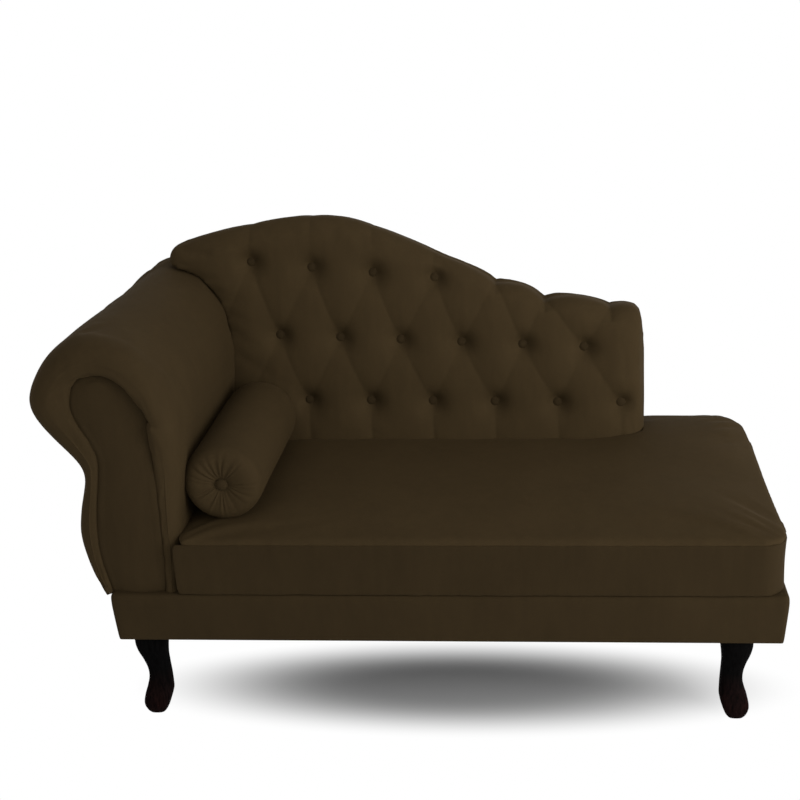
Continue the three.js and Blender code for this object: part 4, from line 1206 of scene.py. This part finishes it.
def tuft_depth(x, z, form):
    """How far the cover is drawn in at points of the back's face."""
    place = np.column_stack([x, z])
    crease = np.zeros(len(x))
    valley = np.zeros(len(x))
    for start, end, depth in pleat_lines():
        _, off = from_segment(place, start, end)
        distance = np.linalg.norm(off, axis=1)
        below = np.where(off[:, 1] < 0, 1.6, 1.0)
        crease = np.maximum(crease, depth * np.exp(-distance / (4.5 * MM * below)))
        valley = np.maximum(valley, depth * np.exp(-(distance / (24 * MM))**1.3))
    pit = np.zeros(len(x))
    for spot in [*TOP_ROW, *MIDDLE_ROW, *LOW_ROW]:
        radius = np.hypot(x - spot.x, z - spot.z)
        reach = np.maximum(radius - 0.6 * form.button_radius, 0)
        pit = np.maximum(pit, np.exp(-(reach / (22 * MM))**1.3))
    drawn = form.pleat_depth * (0.3 * crease + 0.7 * valley)
    return drawn + (form.pit_depth - drawn) * pit


def make_back(form, finish):
    """The tufted cover: inflated, then drawn in at its buttons and pleats."""
    back = back_mould()
    carve(back, arm_tool(-2 * MM))
    remesh(back, COVER_FACES)
    points = coordinates(back)
    held = (points[:, 1] > REAR - 24 * MM) | (points[:, 2] < SEAT_EDGE - 30 * MM)
    held |= points[:, 0] < arm_inner_side(points[:, 2]) + 6 * MM
    inflate(back, held, pressure=3.0, cap=6 * MM)
    subdivide(back)
    tuft(back, form)
    plain_under(back, lambda centre, normal: centre.y > REAR - 8 * MM and normal.y > 0.9)
    dress(back, velvet_material("back", finish.velvet))
    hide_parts("back_cover", "back_foam")


def tuft(back, form):
    """The pits, the pleats, the notches of the top edge and a faint ripple."""
    points, normals = coordinates(back), vertex_normals(back)
    depth = tuft_depth(points[:, 0], points[:, 2], form)
    behind = points[:, 1] - (back_front(points[:, 2]) - BACK_PUFF)
    front = 1 - smoothstep(behind, 30 * MM, 85 * MM)
    rim = smoothstep(normals[:, 2], 0.2, 0.9) * (1 - smoothstep(behind, 60 * MM, 110 * MM))
    facing = smoothstep(-normals[:, 1], 0.1, 0.7)
    shallow = np.minimum(depth, form.pleat_depth)
    move = -normals * (shallow * rim)[:, None]
    move[:, 1] += depth * facing * front
    crest = smoothstep(normals[:, 2], -0.2, 0.7)
    for x, (_, dip) in zip(notch_places(), TOP_NOTCHES):
        notch = dip * np.exp(-np.abs(points[:, 0] - x) / (17 * MM))
        below = smoothstep(points[:, 2], edge_height(x) - 60 * MM, edge_height(x) - 15 * MM)
        move[:, 2] -= notch * below * crest
    ripple = wobble(points * np.array([1, 1, 0.5]), 24 * MM, 1.9) * 0.9 * MM
    near_pit = np.clip(depth / form.pit_depth, 0, 1)
    move -= normals * (ripple * (0.35 + near_pit))[:, None]
    move_points(back, points + move)


def make_outside_back(form, finish):
    """The plain outside panel of the back and the flat panel at the arm's rear, both welted."""
    velvet = velvet_material("outside", finish.velvet)
    inset = BACK_FALL + 13 * MM + max(dip for _, dip in TOP_NOTCHES)
    outline = back_outline(inset, DECK)
    panel = triangulate_ends(loft("outside_back_panel", [
        [(x, y, z) for x, z in outline] for y in (REAR - 3 * MM, REAR)]))
    carve(panel, arm_tool(16 * MM))
    dress(panel, velvet)
    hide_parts("back_outside_cover")
    points, edges = rear_rim(panel)
    welt("back_welt", points, edges, form.welt_radius, velvet)
    line = tapered(inset_line(arm_section(), 5 * MM), REAR, ARM_FRONT + form.lip_round)
    points = [(x, REAR - 1 * MM, z) for x, z in line]
    welt("arm_welt", points, [(i, i + 1) for i in range(len(points) - 1)], form.welt_radius, velvet)


def rear_rim(panel):
    """Points and edges round a flat panel's rear face, without its foot."""
    work = bmesh.new()
    work.from_mesh(panel.data)
    chosen = [
        e for e in work.edges
        if len(e.link_faces) == 2 and max(f.normal.y for f in e.link_faces) > 0.9
        and min(f.normal.y for f in e.link_faces) < 0.5
        and max(v.co.z for v in e.verts) > DECK + 1 * MM]
    places = {v.index: tuple(v.co) for e in chosen for v in e.verts}
    order = {index: i for i, index in enumerate(places)}
    edges = [tuple(order[v.index] for v in e.verts) for e in chosen]
    work.free()
    return list(places.values()), edges


def modifier_graph(name, inputs):
    """An empty node tree for a modifier, with its named inputs and their identifiers."""
    tree = bpy.data.node_groups.new(name, "GeometryNodeTree")
    face = tree.interface
    face.new_socket("Geometry", in_out="INPUT", socket_type="NodeSocketGeometry")
    sockets = {
        label: face.new_socket(label, in_out="INPUT", socket_type=f"NodeSocket{kind}").identifier
        for label, kind in inputs.items()}
    face.new_socket("Geometry", in_out="OUTPUT", socket_type="NodeSocketGeometry")
    return Graph(tree), sockets


def given(graph, label):
    """One of the tree's inputs."""
    return graph.node("NodeGroupInput", output=label)


def deliver(graph, result, material):
    """The tree's result, made real and painted."""
    real = graph.node("GeometryNodeRealizeInstances", {}, {"Geometry": result})
    painted = graph.node("GeometryNodeSetMaterial", {}, {"Geometry": real, "Material": material})
    graph.node("NodeGroupOutput", {}, {"Geometry": painted})


def run_graph(piece, graph, sockets, values):
    """The tree works on a piece with the values given, and leaves a plain mesh."""
    modifier = piece.modifiers.new(graph.tree.name, "NODES")
    modifier.node_group = graph.tree
    for label, value in values.items():
        modifier[sockets[label]] = value
    bake(piece)


def path_piece(name, points, edges=()):
    """An object of points and edges only."""
    data = bpy.data.meshes.new(name)
    data.from_pydata(points, edges, [])
    return new_object(name, data)


def welt(name, points, edges, radius, material):
    """Piping along a path."""
    graph, sockets = modifier_graph(
        "covered_piping", {"Cord radius": "Float", "Ring spacing": "Float"})
    paths = graph.node("GeometryNodeMeshToCurve", {}, {"Mesh": given(graph, "Geometry")})
    even = graph.node("GeometryNodeResampleCurve", {"mode": "LENGTH"}, {
        "Curve": paths, "Length": given(graph, "Ring spacing")})
    circle = graph.node("GeometryNodeCurvePrimitiveCircle", {}, {
        "Resolution": 10, "Radius": given(graph, "Cord radius")})
    cord = graph.node("GeometryNodeCurveToMesh", {}, {
        "Curve": even, "Profile Curve": circle, "Fill Caps": True})
    deliver(graph, cord, material)
    piece = path_piece(name, points, edges)
    run_graph(piece, graph, sockets, {"Cord radius": radius, "Ring spacing": 6 * MM})
    dress(piece, material)


# The bolster

def make_bolster(form, finish):
    """The loose bolster, with its ends gathered round covered buttons."""
    centre = (BOLSTER_LOW + BOLSTER_HIGH) / 2
    radius = (BOLSTER_HIGH.z - BOLSTER_LOW.z) / 2
    angles = np.arange(BOLSTER_SIDES) / BOLSTER_SIDES * 2 * math.pi
    profile = spline(BOLSTER_END_SHARES, 30)
    near, far = BOLSTER_LOW.y, BOLSTER_HIGH.y
    rows = [(near + radius * back, radius * wide) for back, wide in profile]
    rows += [(y, radius) for y in np.linspace(near + radius * 0.5, far - radius * 0.5, 44)[1:-1]]
    rows += [(far - radius * back, radius * wide) for back, wide in profile[::-1]]
    rings = [
        np.column_stack([
            centre.x + wide * np.cos(angles), np.full(BOLSTER_SIDES, y),
            centre.z + wide * np.sin(angles)])
        for y, wide in rows]
    bolster = loft("bolster_pad", rings[1:-1], caps=False)
    points = coordinates(bolster)
    reach = np.hypot(points[:, 0] - centre.x, points[:, 2] - centre.z)
    inflate(bolster, reach < 0.25 * radius, pressure=1.0, cap=1.5 * MM)
    gather(bolster, form, centre, radius)
    subdivide(bolster)
    plain_under(bolster, lambda middle, normal: False)
    dress(bolster, velvet_material("bolster", finish.velvet), BOLSTER_BODY)
    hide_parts("bolster_cover", "bolster_filling")


def gather(bolster, form, centre, radius):
    """Folds run out from each button and fade at the rim; the middle sags a little."""
    points, normals = coordinates(bolster), vertex_normals(bolster)
    across, up = points[:, 0] - centre.x, points[:, 2] - centre.z
    reach = np.hypot(across, up) / radius
    angle = np.arctan2(up, across)
    end = np.maximum(
        smoothstep(-points[:, 1], -(BOLSTER_LOW.y + 0.6 * radius), -BOLSTER_LOW.y),
        smoothstep(points[:, 1], BOLSTER_HIGH.y - 0.6 * radius, BOLSTER_HIGH.y))
    side = np.where(points[:, 1] < centre.y, 0.0, 4.0)
    spin = np.column_stack([np.cos(angle) * 3, np.sin(angle) * 3, side])
    drift = wobble(spin, 1.0, 2.7)
    fold = np.cos(form.gathers * (angle + 0.22 * drift) + 1.4 * reach)
    sharp = np.where(fold > 0, np.abs(fold)**0.7, -np.abs(fold)**1.3)
    fade = smoothstep(reach, 0.12, 0.35) * (1 - smoothstep(reach, 0.5, 1.02))
    uneven = np.clip(0.45 + 1.1 * wobble(spin * 1.3, 1.0, 9.1), 0.1, 1.3)
    depth = 1.9 * MM * sharp * fade * uneven * end
    broad = wobble(points * np.array([1, 0.35, 1]), 60 * MM, 5.2) * 1.1 * MM * (1 - end)
    move_points(bolster, points + normals * (depth + broad)[:, None])


def button_form(radius, height, pleats=9):
    """One covered button: a low dome whose cloth is pulled round its rim."""
    rings = []
    for share, up in ((1.0, -0.35), (1.04, -0.1), (1.0, 0.2), (0.86, 0.62), (0.6, 0.9), (0.3, 1.02)):
        ring = []
        for step in range(36):
            angle = step / 36 * 2 * math.pi
            wave = 1 + 0.03 * math.cos(pleats * angle) * (1 if share > 0.8 else 0)
            ring.append((radius * share * wave * math.cos(angle),
                         radius * share * wave * math.sin(angle), height * up))
        rings.append(ring)
    return loft("button_form", rings)


def spread_buttons(name, spots, tilt, radius, height, material):
    """Covered buttons at the spots, each turned at random about the way that it looks."""
    source = button_form(radius, height)
    graph, sockets = modifier_graph(
        "covered_buttons", {"Button scale": "Float", "Button tilt": "Vector"})
    button = graph.node("GeometryNodeObjectInfo", {}, {"Object": source}, output="Geometry")
    turn = graph.node("FunctionNodeEulerToRotation", {}, {0: given(graph, "Button tilt")})
    spread = graph.node("GeometryNodeInstanceOnPoints", {}, {
        "Points": given(graph, "Geometry"), "Instance": button, "Rotation": turn,
        "Scale": given(graph, "Button scale")})
    angle = graph.node("FunctionNodeRandomValue", {"data_type": "FLOAT"}, {
        "Min": 0.0, "Max": math.tau, "Seed": 7}, output="Value")
    spin = graph.node("ShaderNodeCombineXYZ", {}, {"Z": angle})
    turned = graph.node("GeometryNodeRotateInstances", {}, {"Instances": spread, "Rotation": spin})
    deliver(graph, turned, material)
    piece = path_piece(name, spots)
    run_graph(piece, graph, sockets, {"Button scale": 1.0, "Button tilt": tilt})
    bpy.data.objects.remove(source)
    return piece


def make_buttons(form, finish):
    """The covered buttons of the back and of the bolster's ends."""
    velvet = velvet_material("button", finish.velvet)
    lean = math.atan2(BACK_FOOT_DEPTH - BACK_TOP_DEPTH, BACK_HIGH.z - SEAT_EDGE)
    cloth = coordinates(bpy.data.objects["tufted_back"])
    cloth = cloth[cloth[:, 1] < back_front(cloth[:, 2]) + 50 * MM]
    seats = []
    for spot in (*TOP_ROW, *MIDDLE_ROW, *LOW_ROW):
        near = np.hypot(cloth[:, 0] - spot.x, cloth[:, 2] - spot.z) < 0.5 * form.button_radius
        seats.append((spot.x, cloth[near, 1].max() - 0.5 * MM, spot.z))
    buttons = spread_buttons(
        "back_buttons", seats, (math.pi / 2 - lean, 0, 0), form.button_radius, 5 * MM, velvet)
    dress(buttons, velvet)
    names = [node for nodes in BUTTON_ROWS for node in nodes]
    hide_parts(*names)
    for side, turn in (("front", math.pi / 2), ("rear", -math.pi / 2)):
        node = f"bolster_button_{side}"
        low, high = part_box(node)
        middle = (low + high) / 2
        button = spread_buttons(
            f"bolster_button_{side}_covered", [middle], (turn, 0, 0), *BOLSTER_BUTTON, velvet)
        dress(button, velvet, BOLSTER_BODY)
        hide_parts(node)


# What stays as the construction model has it

def finish_frame(finish):
    """The hidden frame, webbing and zip keep their solids and get their finish."""
    timber = timber_material(finish.timber)
    webbing = woven_material("webbing_weave", (0.16, 0.14, 0.11), 420, 0.3 * MM)
    zip_finish = zip_material()
    foam = foam_material()
    for name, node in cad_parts.items():
        if name == "seat_webbing":
            chosen = webbing
        elif name == "bolster_zip":
            chosen = zip_finish
        elif "foam" in name or "filling" in name:
            chosen = foam
        else:
            chosen = timber
        node.data.materials.clear()
        node.data.materials.append(chosen)


# The stage

def make_camera():
    """The photograph's view, from its fitted place, turn and lens."""
    ahead = Matrix.Rotation(CAMERA_YAW, 3, "Z") @ Vector(
        (0, math.cos(CAMERA_PITCH), -math.sin(CAMERA_PITCH)))
    right = Matrix.Rotation(CAMERA_YAW, 3, "Z") @ Vector((1, 0, 0))
    up = right.cross(ahead)
    side = math.cos(CAMERA_ROLL) * right + math.sin(CAMERA_ROLL) * up
    top = -math.sin(CAMERA_ROLL) * right + math.cos(CAMERA_ROLL) * up
    turn = Matrix((side, top, -ahead)).transposed()
    data = bpy.data.cameras.new("photo_view")
    data.sensor_width = SENSOR
    data.lens = FOCAL_PIXELS / PHOTO_SIDE * SENSOR
    data.shift_x = (PHOTO_SIDE / 2 - PRINCIPAL_COLUMN) / PHOTO_SIDE
    camera = new_object("photo_view", data)
    camera.matrix_world = Matrix.LocRotScale(Vector(CAMERA_PLACE), turn.to_quaternion(), None)
    bpy.context.scene.camera = camera


def add_lamp(name, place, target, size, power):
    """A round soft lamp that looks at its target."""
    data = bpy.data.lights.new(name, "AREA")
    data.shape = "DISK"
    data.size = size
    data.energy = power
    lamp = new_object(name, data)
    lamp.location = place
    way = Vector(target) - Vector(place)
    lamp.rotation_mode = "QUATERNION"
    lamp.rotation_quaternion = way.to_track_quat("-Z", "Y")


def make_world(strength):
    """Even light all round, and plain white where the camera or a gloss sees the background."""
    world = bpy.data.worlds.new("studio")
    world.use_nodes = True
    graph = Graph(world.node_tree)
    camera, glossy, through = (
        graph.node("ShaderNodeLightPath", output=f"Is {kind} Ray")
        for kind in ("Camera", "Glossy", "Transmission"))
    seen = camera.math("MAXIMUM", glossy).math("MAXIMUM", through)
    soft, white = (
        graph.node("ShaderNodeBackground", {}, {"Color": (1, 1, 1, 1), "Strength": level})
        for level in (strength, 1))
    surface = graph.node("ShaderNodeMixShader", {}, {0: seen, 1: soft, 2: white})
    graph.node("ShaderNodeOutputWorld", {}, {"Surface": surface})
    bpy.context.scene.world = world


def floor_material(colour):
    """Pale floor that keeps the real shadow under the piece, darkened there for the camera as a
    painted shadow, and fades to plain white around it.
    """
    shader = Shader("studio_floor")
    shift = [-m / r for m, r in zip(SHADOW_MIDDLE, SHADOW_REACH)]
    place = shader.place(scale=(1 / SHADOW_REACH[0], 1 / SHADOW_REACH[1], 1))
    centred = shader.node("ShaderNodeVectorMath", {"operation": "ADD"}, {0: place, 1: (*shift, 0)})
    reach = shader.node("ShaderNodeVectorMath", {"operation": "LENGTH"}, {0: centred}, output="Value")
    away = shader.node("ShaderNodeMapRange", {"clamp": True, "interpolation_type": "SMOOTHSTEP"}, {
        "Value": reach, "From Min": 0.1, "From Max": 0.8, "To Min": 0, "To Max": 1})
    seen = shader.node("ShaderNodeLightPath", output="Is Camera Ray")
    grain = shader.noise(shader.place(), 40)
    pale = shader.mix(grain, rgba(colour, 0.99), rgba(colour, 1.01))
    # Painted shadow: the camera sees the floor at about a third of its colour near the shadow's
    # middle, while other rays see it pale
    floor_with_painted_shadow = shader.node("ShaderNodeBsdfDiffuse", {}, {
        "Color": shader.mix(seen, pale, rgba(colour, 0.35))})
    white = shader.node("ShaderNodeEmission", {}, {"Color": (1, 1, 1, 1), "Strength": 1})
    surface = shader.node("ShaderNodeMixShader", {}, {0: away * away * seen, 1: floor_with_painted_shadow, 2: white})
    shader.node("ShaderNodeOutputMaterial", {}, {"Surface": surface})
    return shader.material


def make_floor(colour):
    """The pale floor."""
    corners = [(x * FLOOR_HALF, y * FLOOR_HALF, 0) for x, y in ((-1, -1), (1, -1), (1, 1), (-1, 1))]
    floor = mesh_piece("studio_floor", corners, [(0, 1, 2, 3)])
    floor.data.materials.append(floor_material(colour))


# Operators, one for each piece or group of like pieces

class CHAISE_OT_stage(bpy.types.Operator):
    """Add the camera, the floor and the studio light"""

    bl_idname = "chaise.stage"
    bl_label = "Stage"

    def execute(self, context):
        make_camera()
        make_world(WORLD_STRENGTH)
        make_floor(context.scene.chaise_finish.floor)
        for lamp in LAMPS:
            add_lamp(*lamp)
        context.scene.view_settings.view_transform = "Standard"
        return {"FINISHED"}


class CHAISE_OT_frame(bpy.types.Operator):
    """Finish the hidden frame, webbing and zip"""

    bl_idname = "chaise.frame"
    bl_label = "Hidden frame"

    def execute(self, context):
        finish_frame(context.scene.chaise_finish)
        return {"FINISHED"}


class CHAISE_OT_base(bpy.types.Operator):
    """Cover the rails, hang the lining and add the legs"""

    bl_idname = "chaise.base"
    bl_label = "Base and legs"

    def execute(self, context):
        finish = context.scene.chaise_finish
        make_rails(finish)
        make_lining(finish)
        make_legs(finish)
        return {"FINISHED"}


class CHAISE_OT_seat(bpy.types.Operator):
    """Pad the seat and its border"""

    bl_idname = "chaise.seat"
    bl_label = "Seat"

    def execute(self, context):
        make_seat(context.scene.chaise_form, context.scene.chaise_finish)
        return {"FINISHED"}


class CHAISE_OT_arm(bpy.types.Operator):
    """Pad the scrolled arm and its front panel"""

    bl_idname = "chaise.arm"
    bl_label = "Arm"

    def execute(self, context):
        form, finish = context.scene.chaise_form, context.scene.chaise_finish
        make_arm(form, finish)
        make_facings(form, finish)
        return {"FINISHED"}


class CHAISE_OT_back(bpy.types.Operator):
    """Pad and tuft the half back"""

    bl_idname = "chaise.back"
    bl_label = "Back"

    def execute(self, context):
        form, finish = context.scene.chaise_form, context.scene.chaise_finish
        make_back(form, finish)
        make_outside_back(form, finish)
        return {"FINISHED"}


class CHAISE_OT_bolster(bpy.types.Operator):
    """Fill the bolster and gather its ends"""

    bl_idname = "chaise.bolster"
    bl_label = "Bolster"

    def execute(self, context):
        make_bolster(context.scene.chaise_form, context.scene.chaise_finish)
        return {"FINISHED"}


class CHAISE_OT_buttons(bpy.types.Operator):
    """Add the covered buttons"""

    bl_idname = "chaise.buttons"
    bl_label = "Buttons"

    def execute(self, context):
        make_buttons(context.scene.chaise_form, context.scene.chaise_finish)
        return {"FINISHED"}


STEPS = (
    CHAISE_OT_stage, CHAISE_OT_frame, CHAISE_OT_base, CHAISE_OT_seat, CHAISE_OT_arm,
    CHAISE_OT_back, CHAISE_OT_bolster, CHAISE_OT_buttons,
)


class CHAISE_PT_panel(bpy.types.Panel):
    """Sizes, colours and steps of the chaise longue"""

    bl_idname = "CHAISE_PT_panel"
    bl_label = "Chaise longue"
    bl_space_type = "VIEW_3D"
    bl_region_type = "UI"
    bl_category = "Chaise"

    def draw(self, context):
        for group in (context.scene.chaise_form, context.scene.chaise_finish):
            box = self.layout.box()
            for name in group.__annotations__:
                box.prop(group, name)
        for step in STEPS:
            self.layout.operator(step.bl_idname)


CLASSES = (ChaiseForm, ChaiseFinish, *STEPS, CHAISE_PT_panel)


def register():
    for cls in CLASSES:
        bpy.utils.register_class(cls)
    bpy.types.Scene.chaise_form = PointerProperty(type=ChaiseForm)
    bpy.types.Scene.chaise_finish = PointerProperty(type=ChaiseFinish)


def unregister():
    del bpy.types.Scene.chaise_form
    del bpy.types.Scene.chaise_finish
    for cls in reversed(CLASSES):
        bpy.utils.unregister_class(cls)


def main():
    register()
    for step in STEPS:
        group, name = step.bl_idname.split(".")
        getattr(getattr(bpy.ops, group), name)()


if __name__ == "__main__":
    main()
